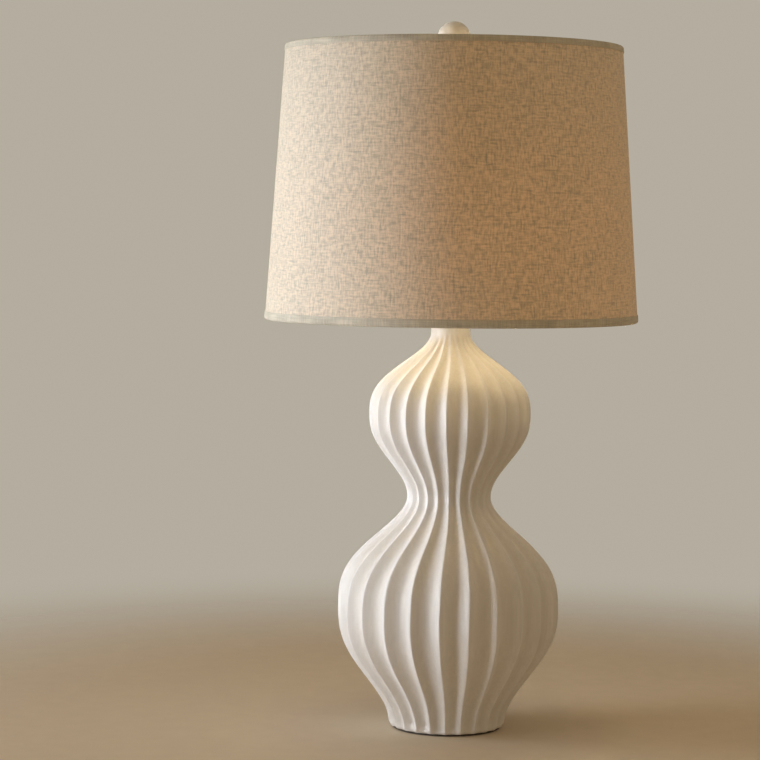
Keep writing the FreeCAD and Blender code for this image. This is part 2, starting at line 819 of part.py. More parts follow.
def bulb_screw_base():
    """The screw base, with a rolled thread shown as rounded rings, and a plain skirt."""
    inside = SHELL_THREAD_R - THREAD_DEPTH - BASE_SHEET
    root = SHELL_THREAD_R - THREAD_DEPTH
    steps = [(root, SCREW_BASE_Z)]
    for i in range(THREAD_TURNS):
        low = SCREW_BASE_Z + i * THREAD_PITCH
        steps.append(((SHELL_THREAD_R, low + THREAD_PITCH / 2), (root, low + THREAD_PITCH)))
    steps += [
        (root, BULB_NECK_Z),
        (inside, BULB_NECK_Z),
        (inside, SCREW_BASE_Z + BASE_SHEET),
        (BASE_GLASS_R - BASE_SHEET, SCREW_BASE_Z + BASE_SHEET),
    ]
    return turned((BASE_GLASS_R - BASE_SHEET, SCREW_BASE_Z), steps)


def bulb_base_insulator():
    """The dark glass cone between the screw base and the tip."""
    low = TIP_Z + TIP_H
    return turned(
        (0, low),
        [
            (TIP_R, low),
            (BASE_GLASS_R, SCREW_BASE_Z),
            (BASE_GLASS_R - BASE_SHEET, SCREW_BASE_Z),
            (BASE_GLASS_R - BASE_SHEET, SCREW_BASE_Z + BASE_SHEET),
            (0, SCREW_BASE_Z + BASE_SHEET),
        ],
    )


def bulb_tip_contact():
    """The soldered button at the bulb's tip."""
    face = (TIP_R / 2, TIP_Z)
    rim = (TIP_R, TIP_Z + TIP_H)
    return turned((0, TIP_Z), [face, (bulged(face, rim, TIP_BULGE), rim), (0, TIP_Z + TIP_H)])


STEM_TOP_Z = SEAL_Z + STEM_H


def bulb_stem():
    """The inner glass stem, flared where it is sealed to the neck."""
    foot = BULB_NECK_R - GLASS_T
    flare = (foot, SEAL_Z + GLASS_T)
    throat = (STEM_R, SEAL_Z + foot)
    shoulder = (STEM_R, STEM_TOP_Z - STEM_R)
    tip = (STEM_TIP_R, STEM_TOP_Z)
    return turned(
        (0, SEAL_Z),
        [
            (foot, SEAL_Z),
            flare,
            (bulged(flare, throat, -STEM_HOLLOW), throat),
            shoulder,
            (bulged(shoulder, tip, STEM_TIP_BULGE), tip),
            (0, STEM_TOP_Z),
        ],
    )


def lead_path(side):
    return (
        Vector(side * (STEM_R - LEAD_R * 2), 0, STEM_TOP_Z - STEM_R),
        Vector(side * FILAMENT_SPAN / 2, 0, STEM_TOP_Z - STEM_R + LEAD_H),
    )


def bulb_lead_wires(stem):
    """Two wires that carry the filament from the top of the stem."""
    wires = []
    for side in (-1, 1):
        start, end = lead_path(side)
        wire = Part.makeCylinder(LEAD_R, (end - start).Length, start, end - start)
        wires.append(wire.cut(stem))
    return Part.makeCompound(wires)


def bulb_filament(leads):
    """The coiled filament, hung in an arc between the two wires."""
    left = lead_path(-1)[1]
    right = lead_path(1)[1]
    middle = Vector(0, 0, left.z + FILAMENT_SPAN / 6)
    path = Part.Wire(Part.Arc(left, middle, right).toShape())
    start = path.Edges[0].tangentAt(path.Edges[0].FirstParameter)
    return rod_along(path, FILAMENT_R, left, start).cut(leads)


# ---------------------------------------------------------------- shade

LEAN = (SHADE_TOP_R - SHADE_BOTTOM_R) / SHADE_H      # radius gained for each unit of height
ROLL_R = (2 * HEM_T + LINEN_T + STYRENE_T + 2 * RING_R + 4 * FIT) / 2


def shade_radius(z, inset):
    """Radius of the shade's side at a height, inset from the outside of its hems."""
    return SHADE_BOTTOM_R + LEAN * (z - SHADE_Z) - inset


LINEN_INSET = HEM_T + FIT
STYRENE_INSET = LINEN_INSET + LINEN_T
WIRE_INSET = STYRENE_INSET + STYRENE_T + FIT + RING_R


def side_shell(inset, thickness):
    """A tapered skin of the shade, between the middles of its rolled edges."""
    low = SHADE_Z + ROLL_R
    high = SHADE_TOP_Z - ROLL_R
    return turned(
        (shade_radius(low, inset), low),
        [
            (shade_radius(high, inset), high),
            (shade_radius(high, inset + thickness), high),
            (shade_radius(low, inset + thickness), low),
        ],
    )


def shade_ring(end):
    """The wire in the rolled edge: end is -1 for the bottom and 1 for the top."""
    z = SHADE_Z + ROLL_R if end < 0 else SHADE_TOP_Z - ROLL_R
    return Part.makeTorus(shade_radius(z, WIRE_INSET), RING_R, Vector(0, 0, z))


def shade_hem(end):
    """Cloth tape folded over the edge and its wire: an outer band, a roll and a tuck."""
    middle = SHADE_Z + ROLL_R if end < 0 else SHADE_TOP_Z - ROLL_R
    band = middle - end * (HEM_W - ROLL_R)
    tuck = middle - end * TUCK_L
    centre = shade_radius(middle, ROLL_R)
    inner_roll = ROLL_R - HEM_T
    return turned(
        (shade_radius(band, 0), band),
        [
            (shade_radius(middle, 0), middle),
            ((centre, middle + end * ROLL_R), (centre - ROLL_R, middle)),
            (centre - ROLL_R + LEAN * (tuck - middle), tuck),
            (centre - inner_roll + LEAN * (tuck - middle), tuck),
            (centre - inner_roll, middle),
            ((centre, middle + end * inner_roll), (centre + inner_roll, middle)),
            (shade_radius(band, HEM_T), band),
        ],
    )


def shade_hub():
    """The washer that seats on the harp, with a raised rim round its hole."""
    lip = HUB_T / 4
    bore = STUD_R + RUN
    top = HUB_Z + HUB_T
    return turned(
        (bore, HUB_Z),
        [
            (HUB_R - lip, HUB_Z),
            (HUB_R, HUB_Z + lip),
            (HUB_R, top - lip),
            (HUB_R - lip, top),
            (bore, top),
        ],
    )


def shade_arms(hub, ring):
    """Round arms from the hub that turn up to the top ring."""
    hub_z = HUB_Z + HUB_T / 2
    ring_z = SHADE_TOP_Z - ROLL_R
    ring_r = shade_radius(ring_z, WIRE_INSET)
    arms = []
    for i in range(ARMS):
        turn = math.pi / 2 + 2 * math.pi * i / ARMS
        out = Vector(math.cos(turn), math.sin(turn), 0)
        points = [
            out * (HUB_R - ARM_R) + Vector(0, 0, hub_z),
            out * (ring_r - ARM_BEND_IN) + Vector(0, 0, hub_z),
            out * (ring_r - ARM_R) + Vector(0, 0, ring_z - ARM_R),
        ]
        arm = rod_along(round_path(points, [ARM_BEND_R]), ARM_R, points[0], out)
        arms.append(arm.cut(hub).cut(ring))
    return Part.makeCompound(arms)


# ---------------------------------------------------------------- finial


def finial_washer():
    low = WASHER_TOP_Z - WASHER_T
    return tube(WASHER_R, STUD_R + 2 * RUN, low, WASHER_TOP_Z)


STALK_TOP_Z = BALL_Z - FINIAL_R + BALL_FLAT


def finial_insert():
    """The brass stalk and plug of the finial, bored for the harp's stud."""
    foot = (FINIAL_STALK_R, WASHER_TOP_Z + FIT)
    head = (FINIAL_STALK_R, STALK_TOP_Z)
    plug_z = STALK_TOP_Z + FINIAL_PLUG_L
    bore = STUD_R + RUN
    bore_z = max(SEAT_Z + STUD_H + REST, STALK_TOP_Z)
    return turned(
        (bore, WASHER_TOP_Z + FIT),
        [
            foot,
            (bulged(foot, head, -FINIAL_STALK_HOLLOW), head),
            (FINIAL_PLUG_R, STALK_TOP_Z),
            (FINIAL_PLUG_R, plug_z),
            (0, plug_z),
            (0, bore_z),
            (bore, bore_z),
        ],
    )


def finial_knob():
    """The round finial, flat underneath, bored for its insert."""
    ball = Part.makeSphere(FINIAL_R, Vector(0, 0, BALL_Z))
    ball = ball.cut(cylinder(FINIAL_R, BALL_Z - 2 * FINIAL_R, STALK_TOP_Z))
    bore_top = STALK_TOP_Z + FINIAL_PLUG_L + FIT
    return ball.cut(cylinder(FINIAL_PLUG_R + FIT, STALK_TOP_Z, bore_top))


# ---------------------------------------------------------------- the nodes


def build():
    """Every sub-part by the name of its node."""
    frame = harp_frame()
    stem = bulb_stem()
    leads = bulb_lead_wires(stem)
    hub = shade_hub()
    top_ring = shade_ring(1)
    arms = shade_arms(hub, top_ring)
    return {
        "ceramic_body": ceramic_body(),
        "felt_pad": felt_pad(),
        "base_washer": base_washer(),
        "base_lock_washer": base_lock_washer(),
        "base_lock_nut": rod_nut(NUT_Z),
        "threaded_rod": threaded_rod(),
        "cord_bushing": cord_bushing(),
        "neck_gasket": neck_gasket(),
        "neck_cap": neck_cap(),
        "neck_tube": neck_tube(),
        "neck_lock_nut": rod_nut(STRIP_Z),
        "harp_saddle": harp_saddle(),
        "harp_frame": frame,
        "harp_top_screw": harp_top_screw(frame),
        "harp_sleeve_left": harp_sleeve(-1),
        "harp_sleeve_right": harp_sleeve(1),
        "socket_cap": socket_cap(),
        "socket_set_screw": socket_set_screw(),
        "socket_shell": socket_shell(),
        "socket_liner": socket_liner(),
        "socket_block": socket_block(),
        "socket_screw_shell": socket_screw_shell(),
        "socket_contact_tongue": socket_contact_tongue(),
        "terminal_screws": terminal_screws(),
        "switch_collar": switch_collar(),
        "switch_rotor": switch_rotor(),
        "switch_shaft": switch_shaft(),
        "switch_knob": switch_knob(),
        "bulb_glass": bulb_glass(),
        "bulb_screw_base": bulb_screw_base(),
        "bulb_base_insulator": bulb_base_insulator(),
        "bulb_tip_contact": bulb_tip_contact(),
        "bulb_stem": stem,
        "bulb_lead_wires": leads,
        "bulb_filament": bulb_filament(leads),
        "shade_linen": side_shell(LINEN_INSET, LINEN_T),
        "shade_liner": side_shell(STYRENE_INSET, STYRENE_T),
        "shade_top_ring": top_ring,
        "shade_bottom_ring": shade_ring(-1),
        "shade_top_hem": shade_hem(1).cut(arms),
        "shade_bottom_hem": shade_hem(-1),
        "shade_hub": hub,
        "shade_arms": arms,
        "finial_washer": finial_washer(),
        "finial_insert": finial_insert(),
        "finial_knob": finial_knob(),
    }


os.makedirs("parts", exist_ok=True)
for name, shape in build().items():
    shape.exportStep(f"parts/{name}.step")
    print(f"{name}: {len(shape.Solids)} solid, {shape.Volume / 1000:.2f} cm3, valid {shape.isValid()}")
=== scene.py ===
"""Double gourd table lamp: fluted ceramic body, tapered linen shade on a harp, and a round finial."""

import math

import bmesh
import bpy
from bpy.props import FloatProperty, FloatVectorProperty, IntProperty, PointerProperty
from mathutils import Matrix, Vector, noise


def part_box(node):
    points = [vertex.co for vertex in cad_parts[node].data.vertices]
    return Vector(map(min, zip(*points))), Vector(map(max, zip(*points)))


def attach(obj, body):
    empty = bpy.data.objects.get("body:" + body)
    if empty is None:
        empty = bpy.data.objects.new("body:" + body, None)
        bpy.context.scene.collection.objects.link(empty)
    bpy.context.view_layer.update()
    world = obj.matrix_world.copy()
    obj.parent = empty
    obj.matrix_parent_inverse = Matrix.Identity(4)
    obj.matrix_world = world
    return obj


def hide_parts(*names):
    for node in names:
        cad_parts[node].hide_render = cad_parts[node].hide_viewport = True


bl_info = {
    "name": "Double Gourd Lamp",
    "version": (1, 0, 0),
    "blender": (4, 5, 0),
    "location": "View3D > Sidebar > Gourd Lamp",
    "description": "Builds the finished look of a fluted double gourd table lamp round its packed parts",
    "category": "Object",
}

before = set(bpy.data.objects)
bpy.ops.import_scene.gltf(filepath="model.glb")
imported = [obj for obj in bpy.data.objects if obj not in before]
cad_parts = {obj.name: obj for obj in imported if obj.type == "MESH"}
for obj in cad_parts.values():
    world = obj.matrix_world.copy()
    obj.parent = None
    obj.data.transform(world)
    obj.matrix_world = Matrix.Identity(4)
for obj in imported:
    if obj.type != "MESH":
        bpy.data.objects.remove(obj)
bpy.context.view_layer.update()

MM = 0.001
TINY = 1e-6  # points nearer than this are one
CLEARANCE = 0.4 * MM  # round what goes through a hole in the casting
CAP_OVERLAP = 8 * MM  # from the neck cap's rim to the casting's bore

FOOT_Z, BODY_TOP = (corner.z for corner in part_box("ceramic_body"))
FLOOR_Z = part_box("base_washer")[1].z
ROD_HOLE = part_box("threaded_rod")[1].x + CLEARANCE
NECK_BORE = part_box("neck_cap")[1].x - CAP_OVERLAP
TOP_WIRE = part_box("shade_top_ring")
BOTTOM_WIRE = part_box("shade_bottom_ring")
SHADE_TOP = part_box("shade_top_hem")[1].z
SHADE_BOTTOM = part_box("shade_bottom_hem")[0].z
BULB_LOW, BULB_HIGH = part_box("bulb_glass")
BULB_Z = BULB_HIGH.z - BULB_HIGH.x  # middle of the bulb's round part


# ---------------------------------------------------------------- settings


class GourdSettings(bpy.types.PropertyGroup):
    """Sizes and glaze of the ceramic body."""

    foot_radius: FloatProperty(
        name="Foot radius", description="Crest radius at the foot", default=0.063, unit="LENGTH"
    )
    belly_radius: FloatProperty(
        name="Belly radius", description="Crest radius of the lower bulb", default=0.1205, unit="LENGTH"
    )
    belly_height: FloatProperty(
        name="Belly height", description="Height of the lower bulb's widest place",
        default=0.127, unit="LENGTH",
    )
    waist_radius: FloatProperty(
        name="Waist radius", description="Crest radius of the waist", default=0.0454, unit="LENGTH"
    )
    waist_height: FloatProperty(
        name="Waist height", description="Height of the narrowest place", default=0.252, unit="LENGTH"
    )
    crown_radius: FloatProperty(
        name="Crown radius", description="Crest radius of the upper bulb", default=0.088, unit="LENGTH"
    )
    crown_height: FloatProperty(
        name="Crown height", description="Height of the upper bulb's widest place",
        default=0.341, unit="LENGTH",
    )
    collar_radius: FloatProperty(
        name="Collar radius", description="Radius of the plain collar", default=0.0214, unit="LENGTH"
    )
    collar_height: FloatProperty(
        name="Collar height", description="Height where the plain collar starts",
        default=0.430, unit="LENGTH",
    )
    flutes: IntProperty(name="Flutes", description="Number of flutes round the body", default=24, min=3)
    arris: FloatProperty(
        name="Arris", description="How soft the crest between two flutes is",
        default=0.0011, unit="LENGTH",
    )
    sway: FloatProperty(
        name="Sway", description="How far the crests lean at the belly",
        default=math.radians(4), unit="ROTATION",
    )
    wander: FloatProperty(
        name="Wander", description="How far a crest strays sideways",
        default=math.radians(0.55), unit="ROTATION",
    )
    glaze: FloatVectorProperty(
        name="Glaze", description="Colour of the matt glaze", default=(0.82, 0.80, 0.77), subtype="COLOR"
    )
    # Colour in the flutes: partly glaze lying thicker there, partly painted shade.
    flute_glaze_and_shade: FloatVectorProperty(
        name="Pooled glaze", description="Colour where it lies thicker in the flutes",
        default=(0.76, 0.73, 0.68), subtype="COLOR",
    )


class ShadeSettings(bpy.types.PropertyGroup):
    """Cloth and painted glow of the shade."""

    flax: FloatVectorProperty(
        name="Flax", description="Colour of a usual linen thread",
        default=(0.70, 0.67, 0.545), subtype="COLOR",
    )
    dark_flax: FloatVectorProperty(
        name="Dark flax", description="Colour of a slub or a coarse thread",
        default=(0.50, 0.455, 0.345), subtype="COLOR",
    )
    tape: FloatVectorProperty(
        name="Tape", description="Colour of the hem tape", default=(0.60, 0.55, 0.44), subtype="COLOR"
    )
    # The shade's glow is painted: emission on the cloth that stands in for the bulb's light coming through
    # it.
    painted_glow_colour: FloatVectorProperty(
        name="Glow colour", description="Lamplight that comes through the cloth",
        default=(1.0, 0.27, 0.01), subtype="COLOR",
    )
    glow: FloatProperty(
        name="Glow", description="Strength of that light where it is brightest", default=0.104, min=0
    )
    thread: FloatProperty(
        name="Thread", description="Distance from one thread to the next", default=0.0019, unit="LENGTH"
    )
    lap: FloatProperty(
        name="Lap", description="Width of the lap seam at the back", default=0.014, unit="LENGTH"
    )


class StageSettings(bpy.types.PropertyGroup):
    """Light, floor and camera."""

    key_power: FloatProperty(
        name="Key power", description="Power of the window-like light", default=36, unit="POWER"
    )
    shade_key_power: FloatProperty(
        name="Shade key power", description="Power of the narrow light on the shade",
        default=0.42, unit="POWER",
    )
    body_key_power: FloatProperty(
        name="Body key power", description="Power of the narrow light on the body",
        default=0.38, unit="POWER",
    )
    fill_power: FloatProperty(
        name="Fill power", description="Power of the weak fill", default=2, unit="POWER"
    )
    air: FloatVectorProperty(
        name="Air", description="Light from all round", default=(0.295, 0.224, 0.142), subtype="COLOR"
    )
    backdrop: FloatVectorProperty(
        name="Backdrop", description="Plain colour behind the lamp",
        default=(0.46, 0.42, 0.35), subtype="COLOR",
    )
    floor: FloatVectorProperty(
        name="Floor", description="Colour of the pale floor",
        default=(0.67, 0.57, 0.435), subtype="COLOR",
    )
    distance: FloatProperty(
        name="Distance", description="Camera's distance from the lamp's axis",
        default=2.7708, unit="LENGTH",
    )
    eye_height: FloatProperty(
        name="Eye height", description="Height of the camera", default=0.553, unit="LENGTH"
    )
    focal_length: FloatProperty(
        name="Focal length", description="Lens in mm on a 36 mm width", default=120.6
    )


# ---------------------------------------------------------------- node graphs

COMMON_NOISE = (0.3, 0.7)  # where most values of a noise lie
THREAD_NOISE = (0.25, 0.75)


class Graph:
    """Adds nodes to a node tree, with numbers or other nodes' outputs as their inputs."""

    def __init__(self, tree):
        self.tree = tree

    def feed(self, socket, value):
        """Links another node's output to a socket, or sets its number, colour or word."""
        if isinstance(value, bpy.types.NodeSocket):
            self.tree.links.new(value, socket)
        elif socket.type == "RGBA" and len(value) == 3:
            socket.default_value = (*value, 1.0)
        else:
            socket.default_value = value

    def add(self, kind, inputs=(), **settings):
        """A new node of a kind, with its settings and then its inputs, by name or by number."""
        node = self.tree.nodes.new(kind)
        for name, value in settings.items():
            setattr(node, name, value)
        for key, value in dict(inputs).items():
            self.feed(node.inputs[key], value)
        return node

    def math(self, operation, *values):
        return self.add("ShaderNodeMath", enumerate(values), operation=operation).outputs[0]

    def plus(self, a, b):
        return self.math("ADD", a, b)

    def minus(self, a, b):
        return self.math("SUBTRACT", a, b)

    def times(self, a, b):
        return self.math("MULTIPLY", a, b)

    def ramp(self, value, low, high, out_low=0.0, out_high=1.0):
        """The value carried from low..high to out_low..out_high, eased at both ends."""
        inputs = {"Value": value, "From Min": low, "From Max": high, "To Min": out_low, "To Max": out_high}
        return self.add("ShaderNodeMapRange", inputs, interpolation_type="SMOOTHSTEP").outputs["Result"]

    def split(self, vector):
        return self.add("ShaderNodeSeparateXYZ", {0: vector}).outputs

    def join(self, x, y, z):
        return self.add("ShaderNodeCombineXYZ", {0: x, 1: y, 2: z}).outputs[0]

    def noise(self, vector, scale=1.0, detail=2.0, roughness=0.5):
        inputs = {"Vector": vector, "Scale": scale, "Detail": detail, "Roughness": roughness}
        return self.add("ShaderNodeTexNoise", inputs).outputs["Fac"]

    def vary(self, noise, spread, middle=0.0, within=COMMON_NOISE):
        """A noise carried to the middle, less or more a spread."""
        return self.ramp(noise, *within, middle - spread, middle + spread)


class Finish(Graph):
    """A procedural material on one Principled shader."""

    def __init__(self, name, uv_map=None, **uniform):
        self.material = bpy.data.materials.new(name)
        self.material.use_nodes = True
        super().__init__(self.material.node_tree)
        self.shader = self.tree.nodes["Principled BSDF"]
        for key, value in uniform.items():
            self.feed(self.shader.inputs[key.replace("_", " ")], value)
        if uv_map:
            self.place = self.add("ShaderNodeUVMap", uv_map=uv_map).outputs[0]
        else:
            self.place = self.add("ShaderNodeTexCoord").outputs["Object"]

    def stretched(self, x, y, z=1.0, shift=0.0):
        """The surface's own coordinates, in marks per metre along each axis, and moved."""
        inputs = {"Vector": self.place, "Scale": (x, y, z), "Location": (shift, shift, shift)}
        return self.add("ShaderNodeMapping", inputs).outputs[0]

    def attribute(self, name):
        return self.add("ShaderNodeAttribute", attribute_name=name).outputs["Fac"]

    def colours(self, share, low, high):
        """From the low colour to the high one, by a share from 0 to 1."""
        return self.add("ShaderNodeMix", {0: share, 6: low, 7: high}, data_type="RGBA").outputs[2]

    def tint(self, colour, shade):
        """A colour made darker or lighter by a value round 1."""
        grey = self.add("ShaderNodeCombineColor", {0: shade, 1: shade, 2: shade}).outputs[0]
        mix = self.add("ShaderNodeMix", {0: 1.0, 6: colour, 7: grey}, data_type="RGBA", blend_type="MULTIPLY")
        return mix.outputs[2]

    def bump(self, height, depth, normal=None):
        """A bump whose height of 1 stands for a depth in metres, on top of another if given."""
        inputs = {"Height": height, "Distance": depth}
        if normal is not None:
            inputs["Normal"] = normal
        return self.add("ShaderNodeBump", inputs).outputs["Normal"]

    def set(self, **inputs):
        """Feeds the shader's inputs, and gives the finished material."""
        for key, value in inputs.items():
            self.feed(self.shader.inputs[key.replace("_", " ")], value)
        return self.material


# ---------------------------------------------------------------- finishes


def glaze_finish(name, glaze, pooled_and_shaded):
    """Matt off-white glaze with brush streaks: light on the crests and darker in the flutes, partly glaze
    lying thin or thick and partly painted shade.
    """
    f = Finish(name, IOR=1.45, Diffuse_Roughness=0.4)
    # The crest share mixes the flute colour, which holds painted shade, with the crest colour.
    crest = f.ramp(f.attribute("crest"), 0.05, 0.75)
    body = f.colours(crest, pooled_and_shaded, glaze)
    streak = f.noise(f.stretched(120, 120, 7), detail=4.0, roughness=0.6)
    brush = f.noise(f.stretched(420, 420, 13, 8.0), detail=2.0)
    cloud = f.noise(f.stretched(9, 9, 6, 3.0), detail=2.0)
    speck = f.noise(f.stretched(620, 620, 620), detail=1.0)
    shade = f.plus(f.vary(streak, 0.02), f.vary(cloud, 0.015, 1.0))
    shade = f.plus(shade, f.vary(brush, 0.025))
    shade = f.plus(shade, f.ramp(speck, 0.68, 0.76, 0.0, -0.05))
    peel = f.noise(f.stretched(260, 260, 150), detail=2.0)
    normal = f.bump(streak, 0.12 * MM)
    normal = f.bump(brush, 0.05 * MM, normal)
    normal = f.bump(peel, 0.05 * MM, normal)
    rough = f.ramp(f.plus(streak, cloud), 0.7, 1.3, 0.36, 0.50)
    return f.set(Base_Color=f.tint(body, shade), Roughness=rough, Normal=normal)


# The numbers below shape the glow painted on the shade's cloth in place of the bulb's light.
GLOW_DROP = 45 * MM  # from the bulb's middle down to the brightest place
GLOW_LEVEL = 0.42  # share of the glow that is the same everywhere
GLOW_PEAK = 0.62  # what the brightest place has on top of it
# share of that painted glow that shows on the hem tape
TAPE_GLOW = 0.06
SLUB_NOISE = (0.54, 0.76)


def painted_lamplight(f, strength):
    """How bright the glow painted on the cloth is, in place of the bulb's light: brightest a little below the
    bulb's middle, and nowhere dark.
    """
    height = f.split(f.add("ShaderNodeTexCoord").outputs["Object"])[2]
    away = f.math("DIVIDE", f.minus(height, BULB_Z - GLOW_DROP), BOTTOM_WIRE[1].x)
    spread = f.plus(f.times(away, away), 1.0)
    fall = f.math("POWER", spread, -1.5)
    return f.math("MULTIPLY_ADD", fall, GLOW_PEAK * strength, GLOW_LEVEL * strength)


def weave_height(f, spacing, slub):
    """Threads that pass over and under each other, with the slubs standing proud."""
    x, y, _ = f.split(f.place)
    turn = math.pi / spacing
    drift = f.ramp(f.noise(f.stretched(90, 90, 1, 51.0), detail=1.0), 0.2, 0.8, -2.0, 2.0)
    over = f.math("SINE", f.math("MULTIPLY_ADD", x, turn, drift))
    under = f.math("SINE", f.math("MULTIPLY_ADD", y, turn, drift))
    upper = f.math("MULTIPLY_ADD", f.times(over, under), 0.5, 0.5)
    weave = f.add("ShaderNodeMix", {0: upper, 2: f.math("ABSOLUTE", over), 3: f.math("ABSOLUTE", under)})
    return f.math("MULTIPLY_ADD", slub, 0.7, weave.outputs[0])


def linen_finish(settings):
    """Plain-woven flax with slubs, with a painted glow in place of the bulb's light behind it."""
    f = Finish("natural_linen", uv_map="weave", Sheen_Weight=0.35, Sheen_Roughness=0.6,
               Sheen_Tint=(1.0, 0.95, 0.86), Roughness=0.85)
    fine = 1 / settings.thread
    warp = f.noise(f.stretched(fine, 120, 1), detail=2.0)
    weft = f.noise(f.stretched(105, fine, 1, 7.0), detail=2.0)
    slub_up = f.noise(f.stretched(fine * 0.75, 62, 1, 11.0), detail=1.0)
    slub_across = f.noise(f.stretched(54, fine * 0.75, 1, 23.0), detail=1.0)
    mottle = f.noise(f.stretched(210, 170, 1, 41.0), detail=2.0)
    cloud = f.noise(f.stretched(26, 19, 1, 31.0), detail=3.0)
    slub = f.math("MAXIMUM", f.ramp(slub_up, *SLUB_NOISE), f.ramp(slub_across, *SLUB_NOISE))
    thread = f.plus(f.vary(warp, 0.55, within=THREAD_NOISE), f.vary(weft, 0.45, within=THREAD_NOISE))
    dark = f.math("MULTIPLY_ADD", thread, 0.70, 0.33)
    dark = f.plus(dark, f.times(slub, 0.42))
    dark = f.plus(dark, f.vary(mottle, 0.10))
    dark = f.plus(dark, f.vary(cloud, 0.06))
    normal = f.bump(weave_height(f, settings.thread, slub), 0.07 * MM)
    normal = f.bump(thread, 0.10 * MM, normal)
    # Painted glow: emission in place of the bulb's light through the cloth, weaker where the threads are
    # thick.
    clearness = f.math("MULTIPLY_ADD", dark, -1.15, 1.44)
    through = f.times(painted_lamplight(f, settings.glow), clearness)
    return f.set(Base_Color=f.colours(dark, settings.flax, settings.dark_flax), Normal=normal,
                 Emission_Color=settings.painted_glow_colour, Emission_Strength=through)


def tape_finish(settings):
    """Finer linen tape over several layers, with a faint painted glow for the little light that comes
    through.
    """
    f = Finish("linen_hem_tape", uv_map="weave", Sheen_Weight=0.12, Sheen_Roughness=0.6,
               Sheen_Tint=(1.0, 0.96, 0.88), Roughness=0.88)
    fine = 1.4 / settings.thread
    warp = f.noise(f.stretched(fine, 60, 1), detail=2.0)
    weft = f.noise(f.stretched(40, fine, 1, 5.0), detail=2.0)
    thread = f.plus(f.vary(warp, 0.5, within=THREAD_NOISE), f.vary(weft, 0.5, within=THREAD_NOISE))
    cloud = f.noise(f.stretched(30, 30, 1, 9.0), detail=2.0)
    shade = f.math("MULTIPLY_ADD", thread, 0.22, f.vary(cloud, 0.08, 1.0))
    # Painted glow: a small share of the cloth's emission, in a warmer colour of its own.
    through = f.times(painted_lamplight(f, settings.glow * TAPE_GLOW), shade)
    return f.set(Base_Color=f.tint(settings.tape, shade), Normal=f.bump(thread, 0.14 * MM),
                 Emission_Color=(1.0, 0.50, 0.16), Emission_Strength=through)


def felt_finish():
    """Pressed dark wool with loose fibres."""
    f = Finish("dark_felt_pad", Roughness=0.96, Sheen_Weight=0.5, Sheen_Roughness=0.5,
               Sheen_Tint=(0.5, 0.42, 0.34))
    fibre = f.noise(f.stretched(900, 900, 900), detail=4.0, roughness=0.7)
    patch = f.noise(f.stretched(60, 60, 60, 4.0), detail=2.0)
    share = f.math("MULTIPLY_ADD", fibre, 0.8, f.times(patch, 0.3))
    body = f.colours(share, (0.018, 0.014, 0.011), (0.075, 0.060, 0.048))
    return f.set(Base_Color=body, Normal=f.bump(fibre, 0.5 * MM))


def metal_finish(name, colour, worn, roughness, along=(1, 1, 14)):
    """Metal with fine working marks, handling marks and a little tarnish."""
    f = Finish(name, Metallic=1.0)
    marks = f.noise(f.stretched(*(240 * a for a in along)), detail=3.0)
    tarnish = f.noise(f.stretched(70, 70, 70, 6.0), detail=4.0, roughness=0.65)
    smear = f.ramp(tarnish, 0.42, 0.68)
    body = f.tint(f.colours(smear, colour, worn), f.ramp(marks, *COMMON_NOISE, 0.94, 1.05))
    rough = f.plus(f.vary(marks, 0.05, roughness), f.times(smear, 0.12))
    return f.set(Base_Color=body, Roughness=rough, Normal=f.bump(marks, 0.02 * MM))


def moulded_finish(name, colour, roughness, grain=0.03, spread=0.08):
    """Moulded plastic, rubber or coated wire, with a faint grain and handling marks."""
    f = Finish(name)
    fine = f.noise(f.stretched(1400, 1400, 1400), detail=2.0)
    wear = f.noise(f.stretched(45, 45, 45, 2.0), detail=4.0, roughness=0.6)
    shade = f.plus(f.vary(wear, spread, 1.0), f.vary(fine, 0.02))
    rough = f.ramp(wear, *COMMON_NOISE, roughness - 0.07, roughness + 0.09)
    return f.set(Base_Color=f.tint(colour, shade), Roughness=rough, Normal=f.bump(fine, grain * MM))


def styrene_finish():
    """White backing of the linen, with the faint lines of its rolling."""
    f = Finish("white_styrene", Roughness=0.5)
    lines = f.noise(f.stretched(420, 420, 5), detail=2.0)
    cloud = f.noise(f.stretched(14, 14, 14, 2.0), detail=2.0)
    shade = f.plus(f.vary(lines, 0.015), f.ramp(cloud, *COMMON_NOISE, 0.98, 1.01))
    return f.set(Base_Color=f.tint((0.84, 0.81, 0.75), shade), Normal=f.bump(lines, 0.03 * MM))


BULB_STRENGTH = 48.0


def bulb_finish():
    """Frosted glass, lit from inside: brightest round the filament, dimmer in the neck."""
    f = Finish("frosted_bulb", Base_Color=(0.92, 0.88, 0.80), Roughness=0.55, IOR=1.5,
               Emission_Color=(1.0, 0.79, 0.47))
    frost = f.noise(f.stretched(900, 900, 900), detail=2.0)
    height = f.split(f.place)[2]
    fill = f.ramp(height, BULB_LOW.z, BULB_Z, 0.10, 1.0)
    cap = f.ramp(height, BULB_Z, BULB_HIGH.z, 0.0, 0.35)
    level = f.times(f.minus(fill, cap), f.vary(frost, 0.03, 1.0))
    return f.set(Emission_Strength=f.times(level, BULB_STRENGTH), Normal=f.bump(frost, 0.03 * MM))


def clear_glass_finish():
    """Clear glass of the bulb's stem, faintly rippled."""
    f = Finish("stem_glass_clear", Base_Color=(0.93, 0.97, 0.95), IOR=1.5, Transmission_Weight=1.0)
    ripple = f.noise(f.stretched(160, 160, 60), detail=1.0)
    rough = f.ramp(ripple, *COMMON_NOISE, 0.02, 0.10)
    return f.set(Roughness=rough, Normal=f.bump(ripple, 0.05 * MM))


